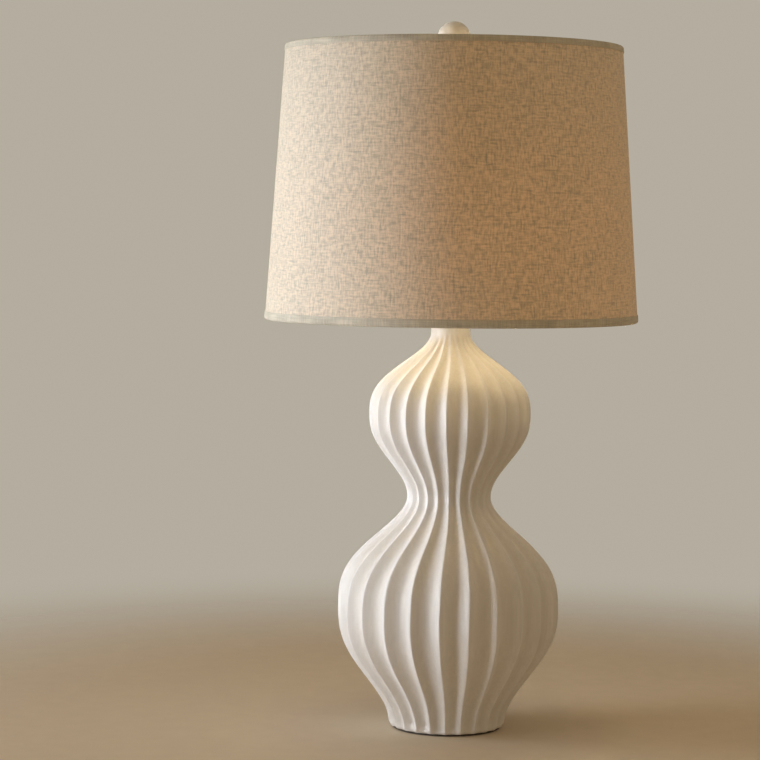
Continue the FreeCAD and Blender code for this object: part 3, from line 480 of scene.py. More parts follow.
def card_finish():
    """Brown pressed card, as the socket's liner is made of."""
    f = Finish("pressed_card", Roughness=0.85)
    fibre = f.noise(f.stretched(700, 700, 160), detail=4.0, roughness=0.7)
    body = f.colours(f.ramp(fibre, *COMMON_NOISE), (0.10, 0.065, 0.035), (0.19, 0.13, 0.075))
    return f.set(Base_Color=body, Normal=f.bump(fibre, 0.08 * MM))


FLOOR_REACH = 1.3
FLOOR_INNER = 0.6
FLOOR_FADE = (0.45, 1.25)  # distances from the lamp between which the floor runs out


def floor_finish(colour):
    """Pale floor near the lamp that runs out into the plain backdrop, and is clear from below."""
    f = Finish("pale_floor", Roughness=0.7, IOR=1.3)
    x, y, _ = f.split(f.place)
    away = f.math("SQRT", f.plus(f.times(x, x), f.times(y, y)))
    fade = f.ramp(away, *FLOOR_FADE)
    below = f.add("ShaderNodeNewGeometry").outputs["Backfacing"]
    hidden = f.math("MAXIMUM", fade, below)
    grain = f.noise(f.stretched(40, 40, 40), detail=3.0)
    f.set(Base_Color=f.tint(colour, f.vary(grain, 0.015, 1.0)))
    clear = f.add("ShaderNodeBsdfTransparent").outputs[0]
    mix = f.add("ShaderNodeMixShader", {0: hidden, 1: f.shader.outputs[0], 2: clear}).outputs[0]
    f.tree.links.new(mix, f.tree.nodes["Material Output"].inputs["Surface"])
    return f.material


# ---------------------------------------------------------------- meshes


def add_object(name, data):
    """A new object in the scene, at the origin."""
    made = bpy.data.objects.new(name, data)
    bpy.context.scene.collection.objects.link(made)
    return made


def new_piece(name, mesh, material, crisp=40.0):
    """A shown piece from a mesh, smooth but for edges sharper than crisp degrees."""
    mesh.materials.clear()
    mesh.materials.append(material)
    mesh.shade_smooth()
    mesh.set_sharp_from_angle(angle=math.radians(crisp))
    return add_object(name, mesh)


def settle(piece, body, slot, *nodes):
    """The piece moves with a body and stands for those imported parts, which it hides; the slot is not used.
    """
    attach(piece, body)
    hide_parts(*nodes)
    return piece


def coat_nodes(material, *nodes):
    """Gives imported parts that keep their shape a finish."""
    for node in nodes:
        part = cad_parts[node]
        for slot in part.material_slots:
            slot.material = material


def face_outwards(mesh):
    """Merges a mesh's doubles and turns its faces outwards."""
    shape = bmesh.new()
    shape.from_mesh(mesh)
    bmesh.ops.remove_doubles(shape, verts=shape.verts, dist=TINY)
    bmesh.ops.recalc_face_normals(shape, faces=shape.faces)
    shape.to_mesh(mesh)
    shape.free()


def turned_mesh(name, outline, around=96):
    """A mesh turned about the upright axis from a closed outline of (radius, height)."""
    shape = bmesh.new()
    rings = []
    for radius, height in outline:
        if radius < TINY:
            rings.append([shape.verts.new((0, 0, height))] * around)
            continue
        turns = [2 * math.pi * i / around for i in range(around)]
        rings.append([shape.verts.new((math.cos(t) * radius, math.sin(t) * radius, height)) for t in turns])
    for low, high in zip(rings, rings[1:] + rings[:1]):
        for i in range(around):
            j = (i + 1) % around
            corners = []
            for vertex in (low[i], low[j], high[j], high[i]):
                if vertex not in corners:
                    corners.append(vertex)
            if len(corners) > 2:
                shape.faces.new(corners)
    mesh = bpy.data.meshes.new(name)
    shape.to_mesh(mesh)
    shape.free()
    face_outwards(mesh)
    return mesh


def outline_object(rows):
    """An outline of (radius, height, depth of the cut, turn) rows, as a mesh that node trees read."""
    mesh = bpy.data.meshes.new("outline")
    mesh.from_pydata([(row[0], 0, row[1]) for row in rows], [(i, i + 1) for i in range(len(rows) - 1)], [])
    for name, column in (("depth", 2), ("turn", 3)):
        values = mesh.attributes.new(name, "FLOAT", "POINT")
        values.data.foreach_set("value", [row[column] for row in rows])
    return add_object("outline", mesh)


FLUTED_INPUTS = (
    ("Around", "NodeSocketInt", 96),
    ("Flutes", "NodeSocketInt", 24),
    ("Arris", "NodeSocketFloat", 0.001),
    ("Roundness", "NodeSocketFloat", 0.0),
    ("Crowding", "NodeSocketFloat", 0.0),
    ("Stray", "NodeSocketFloat", 0.0),
    ("Dents", "NodeSocketFloat", 0.0),
    ("Seed", "NodeSocketInt", 0),
    ("Material", "NodeSocketMaterial", None),
)


def hollow_cut(g, given, radius, number):
    """Share of a flute's depth that is cut away: none on a crest, all in the middle of a flute."""
    across = g.math("ABSOLUTE", g.math("MULTIPLY_ADD", g.math("FRACT", number), 2.0, -1.0))
    across = g.minus(1.0, across)
    half = g.math("DIVIDE", g.times(radius, math.pi), given["Flutes"])
    soft = g.math("DIVIDE", given["Arris"], half)
    rounded = g.math("SQRT", g.plus(g.times(across, across), g.times(soft, soft)))
    rounded = g.minus(rounded, soft)
    hollow = g.times(rounded, g.minus(2.0, rounded))
    wave = g.math("MULTIPLY_ADD", g.math("COSINE", g.times(across, math.pi)), -0.5, 0.5)
    return g.add("ShaderNodeMix", {0: given["Roundness"], 2: hollow, 3: wave}).outputs[0]


def hand_marks(g, given, share, height):
    """Two noises that close round the piece, from about -0.5 to 0.5: for its crests and its dents."""
    lobes = 3.0
    climb = 14.0
    circle = g.times(share, 2 * math.pi)
    ring_x = g.times(g.math("COSINE", circle), lobes)
    ring_y = g.times(g.math("SINE", circle), lobes)
    where = g.join(ring_x, ring_y, g.math("MULTIPLY_ADD", height, climb, given["Seed"]))
    return g.minus(g.noise(where, 1.3, 1.0), 0.5), g.minus(g.noise(where, 2.6, 2.0), 0.5)


def fluted_turning_tree():
    """Node tree that turns an outline about the upright axis and cuts flutes or one thread in it.

    Each outline row has its own depth of cut and its own turn of the first crest, so a turn that
    grows with height makes a helix. Crowding draws the columns together at the crests, Stray lets
    a crest wander sideways, and Dents makes the surface as uneven as a hand leaves it.
    """
    if "fluted_turning" in bpy.data.node_groups:
        return bpy.data.node_groups["fluted_turning"]
    tree = bpy.data.node_groups.new("fluted_turning", "GeometryNodeTree")
    tree.interface.new_socket("Outline", in_out="INPUT", socket_type="NodeSocketGeometry")
    for name, kind, value in FLUTED_INPUTS:
        socket = tree.interface.new_socket(name, in_out="INPUT", socket_type=kind)
        if value is not None:
            socket.default_value = value
    tree.interface.new_socket("Piece", in_out="OUTPUT", socket_type="NodeSocketGeometry")
    g = Graph(tree)
    given = g.add("NodeGroupInput").outputs
    rows = g.add("GeometryNodeAttributeDomainSize", {0: given["Outline"]}).outputs["Point Count"]
    columns = g.plus(given["Around"], 1)
    grid = g.add("GeometryNodeMeshGrid", {"Vertices X": columns, "Vertices Y": rows}).outputs["Mesh"]
    x, y, _ = g.split(g.add("GeometryNodeInputPosition").outputs[0])
    share = g.plus(x, 0.5)
    row = g.math("ROUND", g.times(g.plus(y, 0.5), g.minus(rows, 1)))

    def of_row(field, kind):
        inputs = {"Geometry": given["Outline"], "Value": field, "Index": row}
        return g.add("GeometryNodeSampleIndex", inputs, data_type=kind).outputs["Value"]

    place = of_row(g.add("GeometryNodeInputPosition").outputs[0], "FLOAT_VECTOR")
    radius, _, height = g.split(place)
    depth = of_row(g.add("GeometryNodeInputNamedAttribute", {"Name": "depth"}).outputs[0], "FLOAT")
    first = of_row(g.add("GeometryNodeInputNamedAttribute", {"Name": "turn"}).outputs[0], "FLOAT")
    number = g.times(share, given["Flutes"])
    crowd = g.math("SINE", g.times(number, 2 * math.pi))
    number = g.minus(number, g.times(crowd, given["Crowding"]))
    cut = hollow_cut(g, given, radius, number)
    worked = g.math("MINIMUM", g.times(depth, 1 / MM), 1.0)
    stray, dent = hand_marks(g, given, share, height)
    turn = g.math("DIVIDE", g.times(number, 2 * math.pi), given["Flutes"])
    turn = g.plus(turn, first)
    turn = g.math("MULTIPLY_ADD", stray, g.times(given["Stray"], worked), turn)
    out = g.minus(radius, g.times(depth, cut))
    out = g.math("MULTIPLY_ADD", dent, g.times(given["Dents"], worked), out)
    spot = g.join(g.times(g.math("COSINE", turn), out), g.times(g.math("SINE", turn), out), height)
    crest = g.minus(1.0, g.times(cut, worked))
    inputs = {"Geometry": grid, "Name": "crest", "Value": crest}
    marked = g.add("GeometryNodeStoreNamedAttribute", inputs, data_type="FLOAT", domain="POINT")
    bent = g.add("GeometryNodeSetPosition", {"Geometry": marked.outputs[0], "Position": spot}).outputs[0]
    joined = g.add("GeometryNodeMergeByDistance", {"Geometry": bent, "Distance": TINY}).outputs[0]
    real = g.add("GeometryNodeRealizeInstances", {0: joined}).outputs[0]
    done = g.add("GeometryNodeSetMaterial", {"Geometry": real, "Material": given["Material"]}).outputs[0]
    g.add("NodeGroupOutput", {0: done})
    return tree


def fluted_piece(name, rows, material, cutters=(), crisp=40.0, **values):
    """A plain mesh piece from an outline through the fluted turning tree, less its cutters."""
    maker = outline_object(rows)
    tree = fluted_turning_tree()
    turning = maker.modifiers.new("fluted_turning", "NODES")
    turning.node_group = tree
    sockets = [item for item in tree.interface.items_tree if item.in_out == "INPUT"]
    names = {socket.name: socket.identifier for socket in sockets}
    for key, value in {**values, "Material": material}.items():
        turning[names[key]] = value
    for cutter in cutters:
        cut = maker.modifiers.new("cut", "BOOLEAN")
        cut.object = cutter
        cut.operation = "DIFFERENCE"
        cut.solver = "EXACT"
    graph = bpy.context.evaluated_depsgraph_get()
    mesh = bpy.data.meshes.new_from_object(maker.evaluated_get(graph))
    mesh.name = name
    for spent in (maker, *cutters):
        bpy.data.objects.remove(spent)
    face_outwards(mesh)
    return new_piece(name, mesh, material, crisp)


def level_bar(radius, start, end, height):
    """A round bar along the Y axis, to cut a hole with."""
    mesh = turned_mesh("bar", [(0, start), (radius, start), (radius, end), (0, end)], around=48)
    mesh.transform(Matrix.Translation((0, 0, height)) @ Matrix.Rotation(math.radians(-90), 4, "X"))
    return add_object("bar", mesh)


# ---------------------------------------------------------------- gourd body

# How long each stretch stays full before it swings in: 1 is a plain cosine.
FULLNESS = {"foot": 1.15, "shoulder": 1.52, "cradle": 1.17, "crown": 1.42}
FLUTE_HOLLOW = 0.27  # depth of a flute below the chord of its crests, as a share of the chord
FLUTE_FADE = 0.420  # height where the flutes start to run out
FLUTE_END = 1 * MM  # how far over the collar's start they reach
NECK_FLUTES = 0.36  # height where they start to get deeper
NECK_FLUTE_RISE = 0.04
NECK_FLUTE_EXTRA = 1.1 * MM
FOOT_FLUTE = 0.35  # share of their depth at the very foot
FOOT_ROUND = 4 * MM
FOOT_STEPS = 9
STANDING_FACE = 9 * MM  # from the foot's crests in to the plain part of its standing face
BODY_WALL = 6.5 * MM
FLOOR_THICK = 8 * MM
CAVITY_FILLET = 12 * MM
RECESS_RADIUS = 46 * MM
RECESS_FILLET = 1.5 * MM
RECESS_LIP = 1 * MM
RIM_EDGE = ((0.0, 1.6 * MM), (0.2 * MM, 0.8 * MM), (0.8 * MM, 0.2 * MM), (1.8 * MM, 0.0))
BORE_EDGE = 0.6 * MM
SIDE_ROWS = 186
CAVITY_ROWS = 32
COLUMNS_PER_FLUTE = 13
CREST_CROWDING = 0.11
HAND_DENTS = 0.5 * MM
OUTLET_BARREL = 4.9 * MM
OUTLET_SEAT = 2 * MM


def spans(gourd):
    """The four stretches between a bulb and a narrow place: (bulb, narrow place, fullness)."""
    belly = (gourd.belly_height, gourd.belly_radius)
    waist = (gourd.waist_height, gourd.waist_radius)
    crown = (gourd.crown_height, gourd.crown_radius)
    return (
        (belly, (FOOT_Z, gourd.foot_radius), FULLNESS["foot"]),
        (belly, waist, FULLNESS["shoulder"]),
        (crown, waist, FULLNESS["cradle"]),
        (crown, (gourd.collar_height, gourd.collar_radius), FULLNESS["crown"]),
    )


def crest_radius(gourd, z):
    """Radius over the crests at a height."""
    for (bulb_z, bulb_r), (narrow_z, narrow_r), fullness in spans(gourd):
        if min(bulb_z, narrow_z) <= z <= max(bulb_z, narrow_z):
            share = (z - bulb_z) / (narrow_z - bulb_z)
            swing = math.cos(math.pi * share**fullness)
            return (bulb_r + narrow_r) / 2 + (bulb_r - narrow_r) / 2 * swing
    return gourd.collar_radius


def flute_depth(gourd, z):
    """Depth of a flute, cut a little deeper near the neck and run out at both ends."""
    half = math.pi / gourd.flutes
    full = crest_radius(gourd, z) * (1 - math.cos(half) + 2 * FLUTE_HOLLOW * math.sin(half))
    full += NECK_FLUTE_EXTRA * min(1.0, max(0.0, (z - NECK_FLUTES) / NECK_FLUTE_RISE))
    end = gourd.collar_height + FLUTE_END
    fade = (end - z) / (end - FLUTE_FADE)
    foot = FOOT_FLUTE + (1 - FOOT_FLUTE) * (z - FOOT_Z) / (2 * FOOT_ROUND)
    return full * min(1.0, max(0.0, fade)) * min(1.0, foot)


def crest_turn(gourd, z):
    """Turn of the first crest: at the front, and swayed most where the body is widest."""
    share = (crest_radius(gourd, z) - gourd.waist_radius) / (gourd.belly_radius - gourd.waist_radius)
    return math.radians(-90) - gourd.sway * min(1.0, max(0.0, share))


def fluted_row(gourd, z, inset=0.0):
    """An outline row on the fluted side: (radius, height, depth of the cut, turn)."""
    return (crest_radius(gourd, z) - inset, z, flute_depth(gourd, z), crest_turn(gourd, z))


def side_rows(gourd):
    """The fluted side, from the foot's rounded edge up to the rim."""
    rows = []
    for i in range(FOOT_STEPS):
        lean = math.radians(90) * (1 - i / FOOT_STEPS)
        z = FOOT_Z + FOOT_ROUND * (1 - math.sin(lean))
        rows.append(fluted_row(gourd, z, FOOT_ROUND * (1 - math.cos(lean))))
    first = FOOT_Z + FOOT_ROUND
    last = BODY_TOP - RIM_EDGE[0][1]
    heights = [first + (last - first) * i / SIDE_ROWS for i in range(SIDE_ROWS + 1)]
    return rows + [fluted_row(gourd, z) for z in heights]


def inside_points(gourd):
    """Rim, bore, cavity, floor, recess and standing face, as (radius, height)."""
    points = [(gourd.collar_radius - inset, BODY_TOP - drop) for inset, drop in RIM_EDGE]
    points += [(NECK_BORE + BORE_EDGE, BODY_TOP), (NECK_BORE, BODY_TOP - BORE_EDGE)]
    top = gourd.collar_height
    low = FLOOR_Z + FLOOR_THICK
    for i in range(CAVITY_ROWS + 1):
        z = top + (low + FLOOR_THICK - top) * i / CAVITY_ROWS
        points.append((crest_radius(gourd, z) - flute_depth(gourd, z) - BODY_WALL, z))
    wall = points[-1][0]
    points += [(wall - CAVITY_FILLET / 2, low + CAVITY_FILLET / 8), (wall - CAVITY_FILLET, low)]
    points += [(ROD_HOLE, low), (ROD_HOLE, FLOOR_Z), (RECESS_RADIUS - RECESS_FILLET, FLOOR_Z)]
    points += [(RECESS_RADIUS, FLOOR_Z - RECESS_FILLET), (RECESS_RADIUS, FOOT_Z + RECESS_LIP)]
    points += [(RECESS_RADIUS + RECESS_LIP, FOOT_Z), (gourd.foot_radius - STANDING_FACE, FOOT_Z)]
    return points


def body_rows(gourd):
    """The whole section of the casting, closed: the fluted side and everything inside it."""
    side = side_rows(gourd)
    turn = crest_turn(gourd, BODY_TOP)
    return side + [(r, z, 0.0, turn) for r, z in inside_points(gourd)] + side[:1]


class LAMP_OT_gourd_body(bpy.types.Operator):
    """Cast the fluted ceramic body, with its cord hole at the back"""

    bl_idname = "lamp.gourd_body"
    bl_label = "Gourd Body"

    def execute(self, context):
        gourd = context.scene.gourd
        low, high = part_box("cord_bushing")
        outlet = (low.z + high.z) / 2
        cutters = [
            level_bar(OUTLET_BARREL, RECESS_RADIUS / 2, gourd.belly_radius, outlet),
            level_bar(high.x + CLEARANCE, high.y - OUTLET_SEAT, gourd.belly_radius, outlet),
        ]
        glaze = glaze_finish("matt_glaze", gourd.glaze, gourd.flute_glaze_and_shade)
        body = fluted_piece(
            "gourd_body", body_rows(gourd), glaze, cutters, crisp=50.0,
            Around=gourd.flutes * COLUMNS_PER_FLUTE, Flutes=gourd.flutes, Arris=gourd.arris,
            Crowding=CREST_CROWDING, Stray=gourd.wander * 2, Dents=HAND_DENTS, Seed=5,
        )
        settle(body, "base", "bisque_glaze", "ceramic_body")
        return {"FINISHED"}


# ---------------------------------------------------------------- shade

LINEN_THICK = 0.5 * MM
LINEN_INSET = 0.75 * MM  # from the outermost side, which the hems reach, to the linen
LINEN_COLUMNS = 300
LINEN_ROWS = 48
LAP_CLIMB = 4 * MM  # the length in which the lap climbs over its hidden edge
CLIMB_STEPS = 8
LAP_STEPS = 5
TAPE_THICK = 0.6 * MM
TAPE_INSET = TAPE_THICK + 0.1 * MM  # from the outermost side to the tape's inner face
TAPE_THINNED = 0.35 * MM  # how much of its thickness is gone at its cut edge
THINNED_WIDTH = 0.8 * MM
TUCK = 5 * MM
FOLD_STRAY = 0.10 * MM
FOLD_WAVES = 9
EDGE_STRAY = 0.35 * MM
EDGE_WAVES = 24
HEM_COLUMNS = 360
LINER_THICK = 0.5 * MM
LINER_ROWS = 12
LINER_INSET = LINEN_INSET + 0.9 * MM
SIDE_OUT = 3.6 * MM  # from the middle of the wires to the outermost side
WIRE_RADIUS = (TOP_WIRE[1].z - TOP_WIRE[0].z) / 2


def wire_middle(wire):
    """Radius and height of a ring, at the middle of its wire."""
    low, high = wire
    return (high.x - low.x) / 2 - WIRE_RADIUS, (low.z + high.z) / 2


TOP_WIRE_R, TOP_WIRE_Z = wire_middle(TOP_WIRE)
BOTTOM_WIRE_R, BOTTOM_WIRE_Z = wire_middle(BOTTOM_WIRE)
LEAN = (TOP_WIRE_R - BOTTOM_WIRE_R) / (TOP_WIRE_Z - BOTTOM_WIRE_Z)

# The two hems: their end of the shade is 1 at the top and -1 below.
HEMS = (("top_hem_tape", "shade_top_hem", 1), ("bottom_hem_tape", "shade_bottom_hem", -1))
HEM_WIDTH = {1: 7 * MM, -1: 9 * MM}
HEM_WIRE_Z = {1: TOP_WIRE_Z, -1: BOTTOM_WIRE_Z}
HEM_EDGE_Z = {1: SHADE_TOP, -1: SHADE_BOTTOM}


def side_radius(z, inset=0.0):
    """Radius of the shade's outermost side at a height, less an inset."""
    return BOTTOM_WIRE_R + LEAN * (z - BOTTOM_WIRE_Z) + SIDE_OUT - inset


def side_heights(count):
    """Heights from the lower wire to the upper one."""
    return [BOTTOM_WIRE_Z + (TOP_WIRE_Z - BOTTOM_WIRE_Z) * j / count for j in range(count + 1)]


def cloth_mesh(name, rings, turns, per_turn):
    """A strip of cloth that runs round the axis: rings are (height, function from turn to radius)."""
    count = len(turns)
    points = []
    for height, radius_at in rings:
        for turn in turns:
            radius = radius_at(turn)
            points.append((math.cos(turn) * radius, math.sin(turn) * radius, height))
    faces = []
    for j in range(len(rings) - 1):
        for i in range(count - 1):
            a = j * count + i
            faces.append((a, a + 1, a + count + 1, a + count))
    mesh = bpy.data.meshes.new(name)
    mesh.from_pydata(points, [], faces)
    weave = mesh.uv_layers.new(name="weave")
    climbs = [0.0]
    for (z0, r0), (z1, r1) in zip(rings, rings[1:]):
        climbs.append(climbs[-1] + math.hypot(z1 - z0, r1(0.0) - r0(0.0)))
    for loop in mesh.loops:
        j, i = divmod(loop.vertex_index, count)
        weave.data[loop.index].uv = (turns[i] * per_turn, climbs[j])
    return mesh


def lap_turns(start, radius, lap):
    """Turns from the lap's hidden edge, once round and over it, closer together at the lap.

    The turn where the cloth starts to climb over that edge, and the turn of the climb, come with them.
    """
    step = 2 * math.pi / LINEN_COLUMNS
    climb = LAP_CLIMB / radius
    limit = start + 2 * math.pi - climb
    turns = [start + step * i for i in range(LINEN_COLUMNS)]
    turns = [t for t in turns if t < limit - step / 3]
    turns += [limit + climb * i / CLIMB_STEPS for i in range(CLIMB_STEPS + 1)]
    turns += [start + 2 * math.pi + lap / radius * i / LAP_STEPS for i in range(1, LAP_STEPS + 1)]
    return turns, limit, climb


class LAMP_OT_linen_side(bpy.types.Operator):
    """Stretch the linen round the shade, lapped at the back"""

    bl_idname = "lamp.linen_side"
    bl_label = "Linen Side"

    def execute(self, context):
        shade = context.scene.shade
        back = math.radians(90)
        middle = side_radius((SHADE_TOP + SHADE_BOTTOM) / 2)
        turns, limit, climb = lap_turns(back - shade.lap / middle / 2, middle, shade.lap)

        def layer(z):
            def radius_at(turn):
                share = min(1.0, max(0.0, (turn - limit) / climb))
                lift = LINEN_THICK * share * share * (3 - 2 * share)
                return side_radius(z, LINEN_INSET) + lift
            return radius_at

        rings = [(z, layer(z)) for z in side_heights(LINEN_ROWS)]
        mesh = cloth_mesh("linen_side", rings, turns, middle)
        linen = new_piece("linen_side", mesh, linen_finish(shade))
        thick = linen.modifiers.new("thickness", "SOLIDIFY")
        thick.thickness = LINEN_THICK
        thick.offset = -1
        settle(linen, "shade", "flax_linen", "shade_linen")
        return {"FINISHED"}


def hem_outline(end):
    """Section of the folded tape, as its outer and its inner face: band, roll over the wire and tuck."""
    wire_z = HEM_WIRE_Z[end]
    roll = abs(HEM_EDGE_Z[end] - wire_z)
    centre = side_radius(wire_z) - roll
    band_z = wire_z - end * (HEM_WIDTH[end] - roll)
    tuck_z = wire_z - end * TUCK
    outside = [(side_radius(band_z, TAPE_THINNED), band_z)]
    outside += [(side_radius(z), z) for z in (band_z + end * THINNED_WIDTH, (band_z + wire_z) / 2)]
    steps = 9
    arc = [math.pi * i / steps for i in range(steps + 1)]
    outside += [(centre + roll * math.cos(a), wire_z + end * roll * math.sin(a)) for a in arc]
    outside.append((centre - roll + LEAN * (tuck_z - wire_z), tuck_z))
    inner = roll - TAPE_THICK
    inside = [(centre - inner + LEAN * (tuck_z - wire_z), tuck_z)]
    inside += [(centre - inner * math.cos(a), wire_z + end * inner * math.sin(a)) for a in arc]
    inside.append((side_radius(band_z, TAPE_INSET), band_z))
    return outside, inside


def hem_points(section, end, seed):
    """The section carried round the axis, a little uneven along its fold and its cut edge."""
    points = []
    for i in range(HEM_COLUMNS):
        turn = 2 * math.pi * i / HEM_COLUMNS
        out = Vector((math.cos(turn), math.sin(turn), 0))
        swell = FOLD_STRAY * noise.noise(out * FOLD_WAVES + Vector((0, 0, seed)))
        drop = -end * EDGE_STRAY * noise.noise(out * EDGE_WAVES + Vector((0, seed, 4)))
        for j, (radius, height) in enumerate(section):
            at = out * (radius + swell)
            at.z = height + (drop if j in (0, len(section) - 1) else 0.0)
            points.append(at)
    return points


def hem_mesh(name, end, seed):
    """The tape as a closed ring, with its weave laid along it and across its section."""
    outside, inside = hem_outline(end)
    section = outside + inside
    count = len(section)
    faces = []
    for i in range(HEM_COLUMNS):
        k = (i + 1) % HEM_COLUMNS
        for j in range(count):
            m = (j + 1) % count
            faces.append((i * count + j, k * count + j, k * count + m, i * count + m))
    mesh = bpy.data.meshes.new(name)
    mesh.from_pydata(hem_points(section, end, seed), [], faces)
    weave = mesh.uv_layers.new(name="weave")
    lengths = [0.0]
    for a, b in zip(section, section[1:] + section[:1]):
        lengths.append(lengths[-1] + math.dist(a, b))
    radius = section[0][0]
    for face in mesh.polygons:
        i, j = divmod(face.index, count)
        corners = ((i, j), (i + 1, j), (i + 1, j + 1), (i, j + 1))
        for loop, (column, row) in zip(face.loop_indices, corners):
            weave.data[loop].uv = (2 * math.pi * column / HEM_COLUMNS * radius, lengths[row])
    face_outwards(mesh)
    return mesh


class LAMP_OT_shade_hems(bpy.types.Operator):
    """Fold linen tape over both edges of the shade"""

    bl_idname = "lamp.shade_hems"
    bl_label = "Shade Hems"

    def execute(self, context):
        tape = tape_finish(context.scene.shade)
        for name, node, end in HEMS:
            hem = new_piece(name, hem_mesh(name, end, 3 + end), tape, crisp=60.0)
            settle(hem, "shade", "linen_tape", node)
            outside, _ = hem_outline(end)
        return {"FINISHED"}


class LAMP_OT_shade_liner(bpy.types.Operator):
    """Back the linen with white styrene"""

    bl_idname = "lamp.shade_liner"
    bl_label = "Shade Liner"

    def execute(self, context):
        heights = side_heights(LINER_ROWS)
        outline = [(side_radius(z, LINER_INSET), z) for z in heights]
        outline += [(side_radius(z, LINER_INSET + LINER_THICK), z) for z in reversed(heights)]
        mesh = turned_mesh("styrene_backing", outline, around=240)
        settle(new_piece("styrene_backing", mesh, styrene_finish()), "shade", "styrene", "shade_liner")
        return {"FINISHED"}


class LAMP_OT_shade_wires(bpy.types.Operator):
    """Coat the shade's rings, arms and hub"""

    bl_idname = "lamp.shade_wires"
    bl_label = "Shade Wires"

    def execute(self, context):
        coat_nodes(moulded_finish("white_coated_wire", (0.72, 0.70, 0.65), 0.38),
                   "shade_top_ring", "shade_bottom_ring", "shade_arms", "shade_hub")
        return {"FINISHED"}


# ---------------------------------------------------------------- finial

FINIAL_SEAT = 5 * MM
FINIAL_STEPS = 40
FINIAL_UNEVEN = 0.18 * MM


class LAMP_OT_finial(bpy.types.Operator):
    """Turn the cream finial and its brass stalk"""

    bl_idname = "lamp.finial"
    bl_label = "Finial"

    def execute(self, context):
        low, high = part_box("finial_knob")
        radius = high.x
        middle = high.z - radius
        first = math.asin((low.z - middle) / radius)
        outline = [(0, low.z), (FINIAL_SEAT, low.z)]
        for i in range(FINIAL_STEPS):
            turn = first + (math.pi / 2 - first) * i / FINIAL_STEPS
            outline.append((radius * math.cos(turn), middle + radius * math.sin(turn)))
        outline.append((0, high.z))
        mesh = turned_mesh("finial_ball", outline)
        for vertex in mesh.vertices:
            away = vertex.co - Vector((0, 0, middle))
            grain = noise.noise(away * 60)
            vertex.co -= away.normalized() * FINIAL_UNEVEN * (1 + grain)
        glaze = moulded_finish("cream_glaze", (0.92, 0.87, 0.78), 0.33, grain=0.01, spread=0.05)
        settle(new_piece("finial_ball", mesh, glaze), "finial", "finial_ceramic", "finial_knob")
        coat_nodes(metal_finish("stalk_brass", (0.60, 0.40, 0.16), (0.40, 0.26, 0.11), 0.30),
                   "finial_insert", "finial_washer")
        return {"FINISHED"}


# ---------------------------------------------------------------- hardware

FELT_RINGS = (0.2, 0.4, 0.6, 0.8, 0.93)  # shares of the pad's radius
FELT_LOWER_EDGE = 0.4 * MM
FELT_UPPER_EDGE = 0.3 * MM
FELT_CUT = 0.97  # share of the radius outside which the cut edge strays
FELT_FRAY = 0.010  # how far in it strays, as a share of the radius


class LAMP_OT_base_hardware(bpy.types.Operator):
    """Press the felt and plate the fastenings under the foot"""

    bl_idname = "lamp.base_hardware"
    bl_label = "Base Hardware"

    def execute(self, context):
        low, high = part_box("felt_pad")
        radius = high.x
        top = high.z
        rings = [radius * share for share in FELT_RINGS]
        outline = [(0, low.z)] + [(r, low.z) for r in rings]
        outline += [(radius - FELT_LOWER_EDGE, low.z), (radius, low.z + FELT_LOWER_EDGE)]
        outline += [(radius, top - FELT_UPPER_EDGE), (radius - FELT_UPPER_EDGE, top)]
        outline += [(r, top) for r in reversed(rings)] + [(0, top)]
        mesh = turned_mesh("felt_disc", outline, around=160)
        for vertex in mesh.vertices:
            if vertex.co.xy.length > radius * FELT_CUT:
                vertex.co.xy *= 1 - FELT_FRAY * (1 + noise.noise(vertex.co * 260)) / 2
        settle(new_piece("felt_disc", mesh, felt_finish()), "base", "dark_felt", "felt_pad")
        coat_nodes(metal_finish("plated_steel", (0.55, 0.55, 0.53), (0.42, 0.41, 0.38), 0.34, (1, 1, 1)),
                   "base_washer", "base_lock_washer", "base_lock_nut", "threaded_rod", "socket_set_screw")
        coat_nodes(moulded_finish("ivory_bushing", (0.66, 0.61, 0.50), 0.42), "cord_bushing")
        return {"FINISHED"}


class LAMP_OT_neck(bpy.types.Operator):
    """Finish the brass neck and its gasket"""

    bl_idname = "lamp.neck"
    bl_label = "Neck"

    def execute(self, context):
        coat_nodes(metal_finish("aged_neck_brass", (0.52, 0.35, 0.14), (0.33, 0.22, 0.10), 0.32, (1, 1, 6)),
                   "neck_cap", "neck_tube", "neck_lock_nut")
        coat_nodes(moulded_finish("black_rubber", (0.025, 0.024, 0.023), 0.7), "neck_gasket")
        return {"FINISHED"}


class LAMP_OT_harp(bpy.types.Operator):
    """Plate the harp, its saddle, seat and sleeves"""

    bl_idname = "lamp.harp"
    bl_label = "Harp"

    def execute(self, context):
        coat_nodes(metal_finish("satin_nickel", (0.56, 0.52, 0.46), (0.42, 0.38, 0.33), 0.30),
                   "harp_saddle", "harp_frame", "harp_top_screw", "harp_sleeve_left", "harp_sleeve_right")
        return {"FINISHED"}


class LAMP_OT_socket(bpy.types.Operator):
    """Finish the brass socket and what it holds"""

    bl_idname = "lamp.socket"
    bl_label = "Socket"

    def execute(self, context):
        brass = metal_finish("socket_brass_sheet", (0.66, 0.44, 0.17), (0.48, 0.31, 0.12), 0.26, (1, 1, 0.2))
        coat_nodes(brass, "socket_cap", "socket_shell", "socket_screw_shell", "socket_contact_tongue",
                   "terminal_screws", "switch_collar", "switch_shaft")
        coat_nodes(card_finish(), "socket_liner")
        phenolic = moulded_finish("black_phenolic", (0.022, 0.019, 0.017), 0.45)
        coat_nodes(phenolic, "socket_block", "switch_rotor")
        return {"FINISHED"}


KNOB_RADIUS = 6.5 * MM
KNOB_SHAFT = 2.05 * MM
KNOB_RIB = 0.7 * MM
KNOB_RIBS = 18


